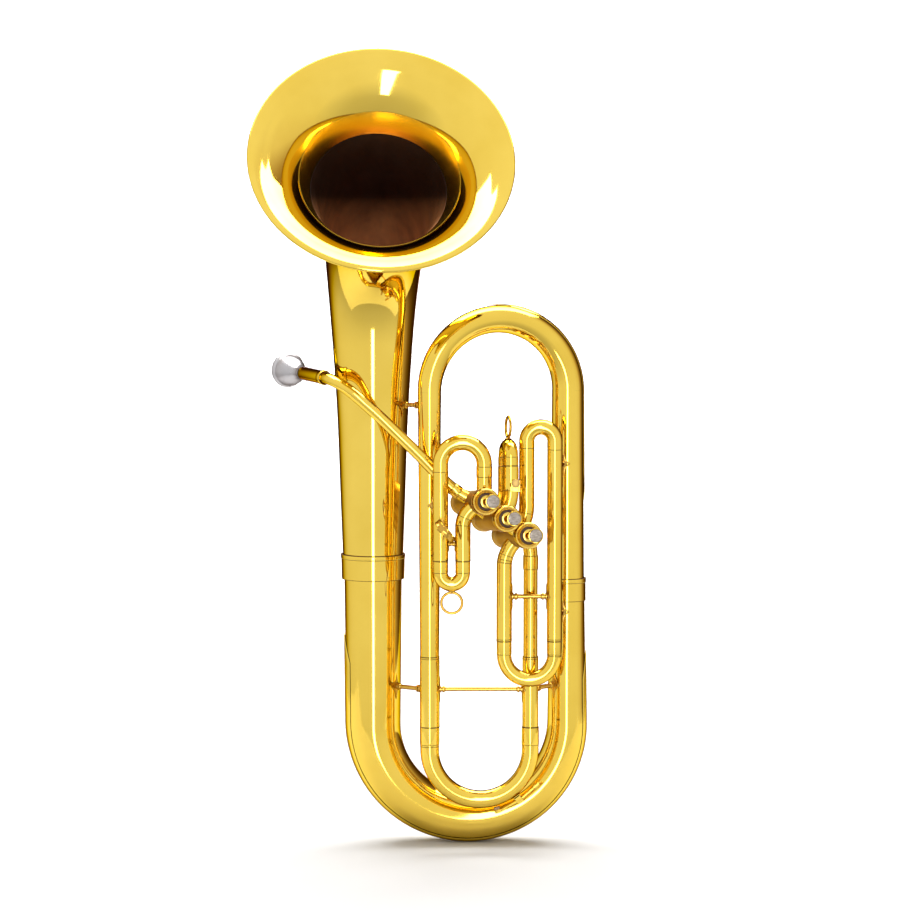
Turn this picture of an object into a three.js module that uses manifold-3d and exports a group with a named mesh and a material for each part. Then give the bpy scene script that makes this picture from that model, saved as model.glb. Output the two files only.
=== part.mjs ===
// Baritone horn: bell-front, three front-action piston valves, main tuning slide and three valve slides.
//
// Units are millimetres and +Z is up. The player stands behind the horn, on the +Y side, and the bell
// opens forward, towards -Y. The origin is the lowest point of the bottom bow's guard, under the middle of
// the bow.
//
// Every tube is a real hollow one. A tube is a closed ring profile turned on a lathe and then bent along
// its path. Sleeves hold slide legs that slide in them, and soldered neighbours keep a gap of 0.3 mm.

import * as THREE from 'three';
import Module from 'manifold-3d';
import { mergeVertices } from 'three/addons/utils/BufferGeometryUtils.js';

const wasm = await Module();
wasm.setup();

// ---------------------------------------------------------------------------------------------------
// Driving dimensions
// ---------------------------------------------------------------------------------------------------

const GAP = 0.3;

// Main body, in plan: X of each upright tube and Y of each plane of tubes.
const STEM_X = -104;
const RIGHT_X = 106;
const LEFT_X = -42.5;
const LEG_X = 65.5;
const MAIN_Y = -41;
const LEAD_Y = -61.5;
const FIRST_Y = -78;
const THIRD_Y = -59.5;

// Bottom bow.
const BOW_Z = 131.8;
const BOW_R = (RIGHT_X - STEM_X) / 2;
const BOW_X = (RIGHT_X + STEM_X) / 2;
const BOW_WALL = 0.9;
const GUARD_GAP = 0.95;
const GUARD_THICK = 0.7;

// Bell: 274 mm (10.8 in) across its rolled rim.
const BELL_JOINT_Z = 302;
const BELL_BEND_Z = 545;
const BELL_RIM = vec(-89.6, -165, 738.4);
const BELL_SWING = THREE.MathUtils.degToRad(5);
const BELL_PITCH = THREE.MathUtils.degToRad(32.7);
const BELL_STRAIGHT = 95;
const BELL_WALL = 1.0;

// Branch tubes and top bow.
const BRANCH_JOINT_Z = 277;
const TOP_BOW_Z = 492.5;
const TUNING_JOINT_Z = 209;

// Cylindrical tubing: radii of the bore, a slide's inner leg and the sleeve that it slides in.
const BORE = 6.9;
const LEG_OUT = 7.4;
const SLEEVE_IN = 7.75;
const SLEEVE_OUT = 8.35;
const BAND = 0.8;

// Main tuning slide.
const SLEEVE_END_Z = 133;
const CROOK_Z = 108;
const CROOK_X = (LEG_X + LEFT_X) / 2;
const CROOK_R = (LEG_X - LEFT_X) / 2;
const TUNING_LEFT = { out: 10.8, in: 10.1, leg: 9.7, bore: 9.1 };
const TUNING_RIGHT = { out: 8.7, in: 8.05, leg: 7.7, bore: 7.1 };
const TUNING_LEG = { bendZ: 335, straightZ: 318.5, band: 13 };

// Valve block: axis of valve 2 at its cap face, direction from the bottom cap to the buttons, row direction.
const VALVE_FACE = vec(40, -107, 363.6);
const VALVE_AXIS = vec(0.2127, -0.9723, 0.0974).normalize();
const VALVE_ROW = vec(0.772, 0.1062, -0.6264).normalize();
const VALVE_PITCH = 28.8;
const VALVE_LENGTH = 117;
const CASING_OUT = 12.7;
const CASING_IN = 11.6;
const PISTON_R = 11.25;
const PISTON_LENGTH = 74;
const CAP_R = 14.2;
const STEM_R = 2.6;
const BUTTON_RISE = 30.5;
const BUTTON_R = 8;
const VALVE_SIDES = 16;

// Valve slides.
const FIRST = { left: -30.5, right: -7, top: 15.5, archZ: 418.4, bendZ: 367, straightZ: 352, sleeveZ: 316, crookZ: 303 };
const THIRD = { left: 37, right: 90.5, top: 60.7, archZ: 441.6, sleeveZ: 228.2, crookZ: 213.6 };
const THIRD_BEND_Z = { arch: 360, archStraight: 374, elbow: 324, elbowStraight: 308 };
const SECOND = { x: 41, y: -68, spread: 11.9, bendZ: 377, straightZ: 388, sleeveZ: 415, crookZ: 424.7 };
const RING_R = 11;
const RING_WIRE = 1.3;
const RING_RISE = 1.1;

// Leadpipe, receiver and mouthpiece.
const MOUTH_AXIS = vec(-0.45, 0.89, 0.045).normalize();
const RECEIVER_START = vec(-153.9, -34, 507.2);
const RECEIVER_LENGTH = 55.6;
const MOUTHPIECE_OUT = 46;
const MOUTHPIECE_LENGTH = 82;
const MOUTHPIECE_RIM = 19.2;

// ---------------------------------------------------------------------------------------------------
// Materials
// ---------------------------------------------------------------------------------------------------

const brass = () => new THREE.MeshStandardMaterial({ color: 0xe3bd4c, roughness: 0.18, metalness: 1 });
const capBrass = () => new THREE.MeshStandardMaterial({ color: 0xc9a24a, roughness: 0.3, metalness: 1 });
const silver = () => new THREE.MeshStandardMaterial({ color: 0xd9d8d2, roughness: 0.15, metalness: 1 });
const nickel = () => new THREE.MeshStandardMaterial({ color: 0xb9b6ac, roughness: 0.3, metalness: 1 });
const steel = () => new THREE.MeshStandardMaterial({ color: 0x8b8c90, roughness: 0.35, metalness: 1 });
const pearl = () => new THREE.MeshStandardMaterial({ color: 0xd8d2c3, roughness: 0.25, metalness: 0 });

// ---------------------------------------------------------------------------------------------------
// Helpers
// ---------------------------------------------------------------------------------------------------

function vec(x, y, z) {
  return new THREE.Vector3(x, y, z);
}

// Merges shared corners and turns the faces outwards.
function closed(geometry) {
  const plain = geometry.clone();
  plain.deleteAttribute('normal');
  plain.deleteAttribute('uv');
  const merged = mergeVertices(plain, 1e-4);
  const index = [];
  const source = merged.index.array;
  const p = merged.attributes.position;
  let volume = 0;
  const [a, b, c] = [vec(0, 0, 0), vec(0, 0, 0), vec(0, 0, 0)];
  for (let i = 0; i < source.length; i += 3) {
    const [ia, ib, ic] = [source[i], source[i + 1], source[i + 2]];
    if (ia === ib || ib === ic || ia === ic) continue;
    index.push(ia, ib, ic);
    a.fromBufferAttribute(p, ia);
    b.fromBufferAttribute(p, ib);
    c.fromBufferAttribute(p, ic);
    volume += a.dot(b.cross(c));
  }
  if (volume < 0) index.reverse();
  merged.setIndex(index);
  return merged;
}

function toManifold(geometry) {
  const g = closed(geometry);
  const vertProperties = new Float32Array(g.attributes.position.array);
  const triVerts = new Uint32Array(g.index.array);
  return new wasm.Manifold(new wasm.Mesh({ numProp: 3, vertProperties, triVerts }));
}

function fromManifold(solid) {
  const { vertProperties, triVerts } = solid.getMesh();
  const g = new THREE.BufferGeometry();
  g.setAttribute('position', new THREE.BufferAttribute(new Float32Array(vertProperties), 3));
  g.setIndex(new THREE.BufferAttribute(new Uint32Array(triVerts), 1));
  return g;
}

function join(...parts) {
  return fromManifold(parts.map(toManifold).reduce((whole, part) => whole.add(part)));
}

function cut(part, ...cutters) {
  return fromManifold(cutters.map(toManifold).reduce((rest, cutter) => rest.subtract(cutter), toManifold(part)));
}

// A round bar of one radius, or two, from point to point.
function bar(from, to, radius, sides = 20, endRadius = radius) {
  const axis = to.clone().sub(from);
  const g = new THREE.CylinderGeometry(endRadius, radius, axis.length(), sides);
  g.applyQuaternion(new THREE.Quaternion().setFromUnitVectors(vec(0, 1, 0), axis.clone().normalize()));
  return g.translate(...from.clone().add(to).multiplyScalar(0.5).toArray());
}

// An arc of a circle from angle to angle, in the plane of two unit vectors.
class Arc extends THREE.Curve {
  constructor(centre, e1, e2, radius, from, to) {
    super();
    Object.assign(this, { centre, e1, e2, radius, from, to });
  }

  getPoint(t, target = vec(0, 0, 0)) {
    const angle = this.from + (this.to - this.from) * t;
    target.copy(this.centre).addScaledVector(this.e1, this.radius * Math.cos(angle));
    return target.addScaledVector(this.e2, this.radius * Math.sin(angle));
  }
}

class Helix extends THREE.Curve {
  constructor(radius, turns, from, to) {
    super();
    Object.assign(this, { radius, turns, from, to });
  }

  getPoint(t, target = vec(0, 0, 0)) {
    const angle = 2 * Math.PI * this.turns * t;
    return target.set(
      this.radius * Math.cos(angle),
      this.radius * Math.sin(angle),
      this.from + (this.to - this.from) * t,
    );
  }
}

const line = (from, to) => new THREE.LineCurve3(from, to);

function route(...curves) {
  const path = new THREE.CurvePath();
  curves.forEach((curve) => path.add(curve));
  return path;
}

// Distances along a route at which it needs a ring: the ends of each piece, and steps within each bend.
function ringPlaces(path, steps) {
  const places = [0];
  let start = 0;
  for (const piece of path.curves) {
    const length = piece.getLength();
    const count = piece.isLineCurve3 ? 1 : steps;
    for (let i = 1; i <= count; i += 1) places.push(start + (length * i) / count);
    start += length;
  }
  return places;
}

function frameAt(path, distance, up) {
  const t = THREE.MathUtils.clamp(distance / path.getLength(), 0, 1);
  const tangent = path.getTangent(t);
  const across = up.clone().cross(tangent).normalize();
  return { centre: path.getPoint(t), across, over: tangent.clone().cross(across) };
}

// Turns a closed [distance, radius] outline on a lathe and bends the result along the path.
function bentLathe(path, outline, up, sides) {
  const points = outline.map(([distance, radius]) => new THREE.Vector2(radius, distance));
  const g = new THREE.LatheGeometry([...points, points[0]], sides);
  const p = g.attributes.position;
  for (let i = 0; i < p.count; i += 1) {
    const { centre, across, over } = frameAt(path, p.getY(i), up);
    centre.addScaledVector(across, p.getX(i)).addScaledVector(over, p.getZ(i));
    p.setXYZ(i, centre.x, centre.y, centre.z);
  }
  return closed(g);
}

// Linear interpolation in a list of [distance, radius].
function radiusIn(table, distance) {
  if (typeof table === 'number') return table;
  let i = 0;
  while (i < table.length - 2 && distance > table[i + 1][0]) i += 1;
  const [[d0, r0], [d1, r1]] = [table[i], table[i + 1]];
  return r0 + ((r1 - r0) * THREE.MathUtils.clamp(distance - d0, 0, d1 - d0)) / (d1 - d0);
}

// A hollow tube along a route. Bands are raised rings: [distance, width].
function tube(path, outer, inner, { up = vec(0, 1, 0), sides = 12, steps = 5, bands = [], raise = BAND } = {}) {
  const places = ringPlaces(path, steps);
  const inBand = (d) => bands.some(([at, width]) => d >= at && d <= at + width);
  const outside = places.filter((d) => !inBand(d)).map((d) => [d, radiusIn(outer, d)]);
  for (const [at, width] of bands) {
    const end = at + width;
    const [r0, r1] = [radiusIn(outer, at), radiusIn(outer, end)];
    outside.push([at, r0], [at + 0.001, r0 + raise], [end - 0.001, r1 + raise], [end, r1]);
  }
  outside.sort((a, b) => a[0] - b[0]);
  const inside = places.map((d) => [d, radiusIn(inner, d)]).reverse();
  return bentLathe(path, [...outside, ...inside], up, sides);
}

// A turned piece with a hole through it, from its closed [axial, radius] outline, along +Z.
function turned(outline, sides = 24) {
  const points = outline.map(([axial, radius]) => new THREE.Vector2(radius, axial));
  const g = new THREE.LatheGeometry([...points, points[0]], sides);
  return closed(g.rotateX(Math.PI / 2));
}

// A solid turned piece: its outline starts and ends on the axis.
function turnedSolid(outline, sides = 24) {
  const g = new THREE.LatheGeometry(outline.map(([axial, radius]) => new THREE.Vector2(radius, axial)), sides);
  return closed(g.rotateX(Math.PI / 2));
}

const group = new THREE.Group();

function add(name, geometry, material, parent = group) {
  const mesh = new THREE.Mesh(geometry, material);
  mesh.name = name;
  parent.add(mesh);
  return mesh;
}

// Moves a piece made along +Z so that it stands at a point along an axis.
function stand(geometry, at, axis) {
  geometry.applyQuaternion(new THREE.Quaternion().setFromUnitVectors(vec(0, 0, 1), axis));
  return geometry.translate(at.x, at.y, at.z);
}

// ---------------------------------------------------------------------------------------------------
// Routes of the main tubes
// ---------------------------------------------------------------------------------------------------

const X = vec(1, 0, 0);
const Z = vec(0, 0, 1);

const bellAim = vec(
  Math.cos(BELL_PITCH) * Math.sin(BELL_SWING),
  -Math.cos(BELL_PITCH) * Math.cos(BELL_SWING),
  Math.sin(BELL_PITCH),
);
const bellSide = vec(Math.cos(BELL_SWING), Math.sin(BELL_SWING), 0);

function bellPath() {
  const bend = vec(STEM_X, 0, BELL_BEND_Z);
  const flare = BELL_RIM.clone().addScaledVector(bellAim, -BELL_STRAIGHT);
  return route(
    line(vec(STEM_X, 0, BELL_JOINT_Z), bend),
    new THREE.CubicBezierCurve3(
      bend,
      bend.clone().addScaledVector(Z, 75),
      flare.clone().addScaledVector(bellAim, -65),
      flare,
    ),
    line(flare, BELL_RIM),
  );
}

const bowPath = route(
  line(vec(STEM_X, 0, BELL_JOINT_Z - GAP), vec(STEM_X, 0, BOW_Z)),
  new Arc(vec(BOW_X, 0, BOW_Z), X, Z, BOW_R, Math.PI, 2 * Math.PI),
  line(vec(RIGHT_X, 0, BOW_Z), vec(RIGHT_X, 0, BRANCH_JOINT_Z)),
);
const BOW_STRAIGHT = BELL_JOINT_Z - BOW_Z;
const BOW_RADII = [
  [0, 31.3],
  [BOW_STRAIGHT, 29.6],
  [BOW_STRAIGHT + (Math.PI * BOW_R) / 2, 25.5],
  [BOW_STRAIGHT + Math.PI * BOW_R, 21],
  [bowPath.getLength(), 19],
];

const topEnd = vec(LEFT_X, MAIN_Y, TOP_BOW_Z);
const topStart = vec(RIGHT_X, 0, TOP_BOW_Z);
const topAcross = topStart.clone().sub(topEnd).normalize();
const topRadius = topStart.distanceTo(topEnd) / 2;
const topCentre = topStart.clone().add(topEnd).multiplyScalar(0.5);
const TOP_NORMAL = topAcross.clone().cross(Z);
const TOP_STEM = TOP_BOW_Z - BRANCH_JOINT_Z;
// The right branch and the top bow as one route, for the guard that covers both.
const topPath = route(
  line(vec(RIGHT_X, 0, BRANCH_JOINT_Z + GAP), topStart),
  new Arc(topCentre, topAcross, Z, topRadius, 0, Math.PI),
);
const TOP_RADII = [
  [0, 18.6],
  [TOP_STEM, 16.9],
  [topPath.getLength(), 12.6],
];

// ---------------------------------------------------------------------------------------------------
// Bell and bows
// ---------------------------------------------------------------------------------------------------

// Distance back from the rim, and outer radius there.
const BELL_OUTLINE = [
  [7, 121.5],
  [12, 112],
  [27, 94],
  [60, 73.2],
  [110, 59.2],
  [190, 50.6],
  [270, 43.4],
  [350, 38.3],
  [440, 35],
];
const BELL_RINGS = 14;
const BELL_END_R = 32.3;

function makeBell() {
  const path = bellPath();
  const length = path.getLength();
  const keys = [...BELL_OUTLINE, [length, BELL_END_R]].map(([d, r]) => new THREE.Vector2(length - d, r));
  const outline = new THREE.SplineCurve(keys).getSpacedPoints(BELL_RINGS).reverse();
  const outside = outline.map((p) => [Math.max(p.x, 0), p.y]);
  const inside = outline.map((p, i) => {
    const q = outline[Math.min(i + 1, BELL_RINGS)];
    const before = outline[Math.max(i - 1, 0)];
    const slope = q.clone().sub(before).normalize();
    return [THREE.MathUtils.clamp(p.x + slope.y * BELL_WALL, 0, length), p.y - slope.x * BELL_WALL];
  });
  const bead = [
    [length - 4.4, 135.4],
    [length - 1.9, 137],
    [length, 134.4],
    [length - 2.6, 127.6],
  ];
  return bentLathe(path, [...outside, ...bead, ...inside.reverse()], bellSide, 24);
}

add('bell', makeBell(), brass());
add('bell_ferrule', turned([[-13.5, 32.7], [-13.5, 34], [13.5, 34.9], [13.5, 33.6]], 24)
  .translate(STEM_X, 0, BELL_JOINT_Z), brass());
add('bottom_bow', tube(bowPath, BOW_RADII, BOW_RADII.map(([d, r]) => [d, r - BOW_WALL]),
  { sides: 16, steps: 9 }), brass());
add('branch_ferrule', turned([[-12.3, 19.5], [-12.3, 20.5], [12.3, 20.3], [12.3, 19.3]], 18)
  .translate(RIGHT_X, 0, BRANCH_JOINT_Z), brass());

// A guard is a curved plate on the outside of a bow, with pointed ends.
function guard(path, radii, up, from, to, halfAngle, steps) {
  const tip = 26;
  const g = new THREE.BoxGeometry(2, to - from, 1, 4, steps, 1);
  const p = g.attributes.position;
  for (let i = 0; i < p.count; i += 1) {
    const distance = p.getY(i) + (from + to) / 2;
    const nearEnd = Math.min((distance - from) / tip, (to - distance) / tip, 1);
    const angle = p.getX(i) * halfAngle * Math.max(Math.sin((nearEnd * Math.PI) / 2), 0.12);
    const { centre, across, over } = frameAt(path, distance, up);
    const radius = radiusIn(radii, distance) + GUARD_GAP + (p.getZ(i) + 0.5) * GUARD_THICK;
    centre.addScaledVector(across, radius * Math.cos(angle)).addScaledVector(over, radius * Math.sin(angle));
    p.setXYZ(i, centre.x, centre.y, centre.z);
  }
  return closed(g);
}

add('bottom_bow_guard', guard(bowPath, BOW_RADII, vec(0, 1, 0), BELL_JOINT_Z - 229,
  BOW_STRAIGHT + Math.PI * BOW_R + 78, 0.62, 26), brass());
add('right_branch_tube', tube(route(line(vec(RIGHT_X, 0, BRANCH_JOINT_Z + GAP), topStart)),
  [[0, 18.6], [TOP_STEM, 16.9]], [[0, 17.8], [TOP_STEM, 16.1]], { up: X, sides: 16 }), brass());
add('top_bow', tube(route(new Arc(topCentre.clone().addScaledVector(Z, GAP), topAcross, Z, topRadius, 0, Math.PI)),
  [[0, 16.9], [Math.PI * topRadius, 12.6]], [[0, 16.1], [Math.PI * topRadius, 11.8]],
  { up: TOP_NORMAL, sides: 14, steps: 10 }), brass());
add('top_bow_guard', guard(topPath, TOP_RADII, TOP_NORMAL.clone().negate(), 96, TOP_STEM + topRadius * (Math.PI / 2 + 0.12),
  0.6, 18), brass());
add('left_branch_tube', tube(route(line(topEnd, vec(LEFT_X, MAIN_Y, TUNING_JOINT_Z + GAP))),
  [[0, 12.6], [TOP_BOW_Z - TUNING_JOINT_Z, 10.3]], [[0, 11.8], [TOP_BOW_Z - TUNING_JOINT_Z, 9.5]],
  { up: X, sides: 14 }), brass());

// ---------------------------------------------------------------------------------------------------
// Valves
// ---------------------------------------------------------------------------------------------------

const VALVE_OVER = VALVE_AXIS.clone().cross(VALVE_ROW);
const valveTurn = new THREE.Quaternion().setFromRotationMatrix(
  new THREE.Matrix4().makeBasis(VALVE_ROW, VALVE_OVER, VALVE_AXIS),
);
// Centre of a valve's bottom cap face. Valves are numbered 0, 1, 2 from the leadpipe.
const valveFoot = [-1, 0, 1].map((n) => VALVE_FACE.clone()
  .addScaledVector(VALVE_ROW, n * VALVE_PITCH)
  .addScaledVector(VALVE_AXIS, -VALVE_LENGTH));

const onAxis = (valve, t) => valveFoot[valve].clone().addScaledVector(VALVE_AXIS, t);

// Point on a valve's axis at a given Y.
function axisAtY(valve, y) {
  return onAxis(valve, (y - valveFoot[valve].y) / VALVE_AXIS.y);
}

// A bar that fills a casing and the gap round it, to cut tubes with.
const casingSpace = (valve) => bar(onAxis(valve, -2), onAxis(valve, VALVE_LENGTH), CASING_OUT + GAP, VALVE_SIDES);

const valvePorts = [[], [], []];

// Notes a port: the bore from a valve's axis out towards a point.
function port(valve, inside, outside) {
  const reach = outside.clone().sub(inside).normalize().multiplyScalar(CASING_OUT * 2);
  valvePorts[valve].push(bar(inside, inside.clone().add(reach), BORE - 0.4, 10));
}

// ---------------------------------------------------------------------------------------------------
// Main tuning slide and the leg that feeds it
// ---------------------------------------------------------------------------------------------------

function makeTuning() {
  const sleeve = (x, size) => tube(
    route(line(vec(x, MAIN_Y, TUNING_JOINT_Z), vec(x, MAIN_Y, SLEEVE_END_Z))),
    size.out,
    size.in,
    { up: X, sides: 14 },
  );
  add('tuning_sleeve_left', sleeve(LEFT_X, TUNING_LEFT), brass());
  add('tuning_sleeve_right', sleeve(LEG_X, TUNING_RIGHT), brass());

  const from = axisAtY(2, MAIN_Y);
  const start = from.clone().add(vec(4.5, 0, -1.5));
  const end = vec(LEG_X, MAIN_Y, TUNING_LEG.straightZ);
  port(2, from, vec(LEG_X, MAIN_Y, from.z - 6));
  const path = route(
    new THREE.QuadraticBezierCurve3(start, vec(LEG_X, MAIN_Y, TUNING_LEG.bendZ), end),
    line(end, vec(LEG_X, MAIN_Y, TUNING_JOINT_Z + GAP)),
  );
  const bend = path.curves[0].getLength();
  const leg = tube(path, LEG_OUT + 0.3, BORE, { bands: [[bend + 1, TUNING_LEG.band]] });
  add('tuning_leg', cut(leg, casingSpace(2)), brass());

  const top = TUNING_JOINT_Z - 5;
  const crook = route(
    line(vec(LEFT_X, MAIN_Y, SLEEVE_END_Z - GAP), vec(LEFT_X, MAIN_Y, CROOK_Z)),
    new Arc(vec(CROOK_X, MAIN_Y, CROOK_Z), X, Z, CROOK_R, Math.PI, 2 * Math.PI),
    line(vec(LEG_X, MAIN_Y, CROOK_Z), vec(LEG_X, MAIN_Y, SLEEVE_END_Z - GAP)),
  );
  const length = crook.getLength();
  const bow = tube(crook, [[0, 10.6], [length, 9.2]], [[0, TUNING_LEFT.bore], [length, TUNING_RIGHT.bore]],
    { sides: 12, steps: 8 });
  const innerLeg = (x, size) => tube(
    route(line(vec(x, MAIN_Y, top), vec(x, MAIN_Y, SLEEVE_END_Z - 3))),
    size.leg,
    size.bore - 0.05,
    { up: X, sides: 12 },
  );
  add('tuning_slide', join(bow, innerLeg(LEFT_X, TUNING_LEFT), innerLeg(LEG_X, TUNING_RIGHT)), brass());
}
makeTuning();

// Water key on the outside of the tuning crook: a saddle, and a lever with its cork.
const KEY_ANGLE = THREE.MathUtils.degToRad(-52);
const CROOK_SKIN = CROOK_R + 10.1;

const onCrook = (degrees, radius) => {
  const angle = THREE.MathUtils.degToRad(degrees);
  return vec(CROOK_X + radius * Math.cos(angle), MAIN_Y, CROOK_Z + radius * Math.sin(angle));
};

function makeWaterKey() {
  const crookSpace = tube(
    route(new Arc(vec(CROOK_X, MAIN_Y, CROOK_Z), X, Z, CROOK_R, Math.PI * 1.5, 2 * Math.PI)),
    10.2,
    1,
    { sides: 14, steps: 8 },
  );
  const pivot = onCrook(-52, CROOK_SKIN + 5.4);
  const out = vec(Math.cos(KEY_ANGLE), 0, Math.sin(KEY_ANGLE));
  const along = vec(-out.z, 0, out.x);
  const Y = vec(0, 1, 0);
  const block = (width, length, height, aside, depth) => {
    const g = new THREE.BoxGeometry(width, length, height);
    g.applyMatrix4(new THREE.Matrix4().makeBasis(Y, along, out));
    const at = pivot.clone().addScaledVector(Y, aside).addScaledVector(out, -depth);
    return g.translate(at.x, at.y, at.z);
  };
  const pin = bar(pivot.clone().addScaledVector(Y, -5.4), pivot.clone().addScaledVector(Y, 5.4), 0.9, 10);
  const cheeks = [-4.2, 4.2].map((aside) => block(1.4, 7, 9, aside, 2));
  const foot = block(9.8, 9, 2, 0, 5);
  add('water_key_saddle', cut(join(...cheeks, pin, foot), crookSpace), brass());

  const arm = bar(onCrook(-74, CROOK_SKIN + 6.2), pivot, 1.9, 10, 2.2);
  const touch = bar(pivot, onCrook(-32, CROOK_SKIN + 8), 2.4, 10, 2);
  const paddle = bar(onCrook(-36, CROOK_SKIN + 6.6), onCrook(-30, CROOK_SKIN + 9.4), 3.4, 12);
  const cork = bar(onCrook(-74, CROOK_SKIN + 0.7), onCrook(-74, CROOK_SKIN + 7), 3.6, 12);
  const hub = bar(pivot.clone().addScaledVector(Y, -3), pivot.clone().addScaledVector(Y, 3), 2.9, 14);
  const hole = bar(pivot.clone().addScaledVector(Y, -6), pivot.clone().addScaledVector(Y, 6), 1.25, 10);
  add('water_key', cut(join(arm, touch, paddle, cork, hub), hole), brass());
}
makeWaterKey();

// ---------------------------------------------------------------------------------------------------
// First, second and third valve slides
// ---------------------------------------------------------------------------------------------------

// A slide's moving crook: two inner legs, two bands and the bend, in the plane of two unit vectors.
function slideCrook(centre, side, out, radius, legLeft, legRight, bandWidth) {
  const corner = (sign, depth) => centre.clone().addScaledVector(side, sign * radius).addScaledVector(out, -depth);
  const bow = tube(
    route(
      line(corner(1, bandWidth), corner(1, 0)),
      new Arc(centre, side, out, radius, 0, Math.PI),
      line(corner(-1, 0), corner(-1, bandWidth)),
    ),
    LEG_OUT + 0.4,
    BORE,
    { up: side.clone().cross(out), steps: 5 },
  );
  const leg = (sign, depth) => tube(
    route(line(corner(sign, depth), corner(sign, bandWidth - 3))),
    LEG_OUT,
    BORE - 0.05,
    { up: side },
  );
  return join(bow, leg(1, legRight + bandWidth), leg(-1, legLeft + bandWidth));
}

// A pull ring on the end of a crook, and the foot that joins them.
function pullRing(crookEnd, out, normal) {
  const wire = new THREE.TorusGeometry(RING_R, RING_WIRE, 6, 16);
  const centre = crookEnd.clone().addScaledVector(out, RING_RISE + RING_R);
  const foot = bar(crookEnd.clone().addScaledVector(out, -1.2), centre.clone().addScaledVector(out, -RING_R), 2.4, 8);
  return [stand(wire, centre, normal), foot];
}

function makeFirstSlide() {
  const from = axisAtY(0, FIRST_Y);
  const { left, right, top, archZ, bendZ, straightZ, sleeveZ, crookZ } = FIRST;
  const archR = (top - left) / 2;
  const foot = vec(top, FIRST_Y, from.z + 4);
  port(0, vec(top - 2, FIRST_Y, from.z), vec(top - 2, FIRST_Y, archZ));
  const path = route(
    line(foot, vec(top, FIRST_Y, archZ)),
    new Arc(vec((top + left) / 2, FIRST_Y, archZ), X, Z, archR, 0, Math.PI),
    line(vec(left, FIRST_Y, archZ), vec(left, FIRST_Y, sleeveZ)),
  );
  const length = path.getLength();
  const arch = tube(path, SLEEVE_OUT, SLEEVE_IN, { steps: 6, bands: [[length - 8, 7.9]] });
  add('first_slide_arch', cut(arch, casingSpace(0)), brass());

  const start = from.clone().add(vec(-4, 0, -4));
  const end = vec(right, FIRST_Y, straightZ);
  port(0, from, start.clone().add(vec(-6, 0, -4)));
  const elbowPath = route(
    new THREE.QuadraticBezierCurve3(start, vec(right, FIRST_Y, bendZ), end),
    line(end, vec(right, FIRST_Y, sleeveZ)),
  );
  const elbowLength = elbowPath.getLength();
  const elbow = tube(elbowPath, SLEEVE_OUT, SLEEVE_IN, { bands: [[elbowLength - 8, 7.9]] });
  add('first_slide_elbow', cut(elbow, casingSpace(0)), brass());

  const centre = vec((left + right) / 2, FIRST_Y, crookZ);
  const crook = slideCrook(centre, X, vec(0, 0, -1), (right - left) / 2, 60, 30, sleeveZ - GAP - crookZ);
  const crookEnd = vec(centre.x, FIRST_Y, crookZ - (right - left) / 2 - LEG_OUT - 0.4);
  add('first_slide', join(crook, ...pullRing(crookEnd, vec(0, 0, -1), vec(0, 1, 0))), brass());
}
makeFirstSlide();

// The second slide stands across the valves, square to their axes.
const SECOND_UP = vec(0, VALVE_AXIS.z, -VALVE_AXIS.y).normalize();

function makeSecondSlide() {
  const { x, y, spread, bendZ, straightZ, sleeveZ, crookZ } = SECOND;
  const from = axisAtY(1, y);
  // A point on one leg at a height: sign -1 is the back leg and 1 the front leg.
  const at = (sign, z) => vec(x, from.y, from.z)
    .addScaledVector(SECOND_UP, (z - from.z) / SECOND_UP.z)
    .addScaledVector(VALVE_AXIS, sign * spread);
  const sleeve = (sign) => {
    const inside = from.clone().addScaledVector(VALVE_AXIS, sign * spread);
    const towards = at(sign, bendZ).sub(inside).normalize();
    const start = inside.clone().addScaledVector(towards, 5);
    port(1, inside, start);
    const path = route(
      new THREE.QuadraticBezierCurve3(start, at(sign, bendZ), at(sign, straightZ)),
      line(at(sign, straightZ), at(sign, sleeveZ)),
    );
    return cut(tube(path, SLEEVE_OUT, SLEEVE_IN, { up: VALVE_AXIS }), casingSpace(1));
  };
  add('second_slide_sleeve_back', sleeve(-1), brass());
  add('second_slide_sleeve_front', sleeve(1), brass());

  const centre = at(0, crookZ);
  const crook = slideCrook(centre, VALVE_AXIS, SECOND_UP, spread, 24, 24, crookZ - sleeveZ - GAP);
  const crookEnd = centre.clone().addScaledVector(SECOND_UP, spread + LEG_OUT + 0.4);
  const side = VALVE_AXIS.clone().cross(SECOND_UP).normalize();
  add('second_slide', join(crook, ...pullRing(crookEnd, SECOND_UP, side)), brass());
}
makeSecondSlide();

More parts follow.
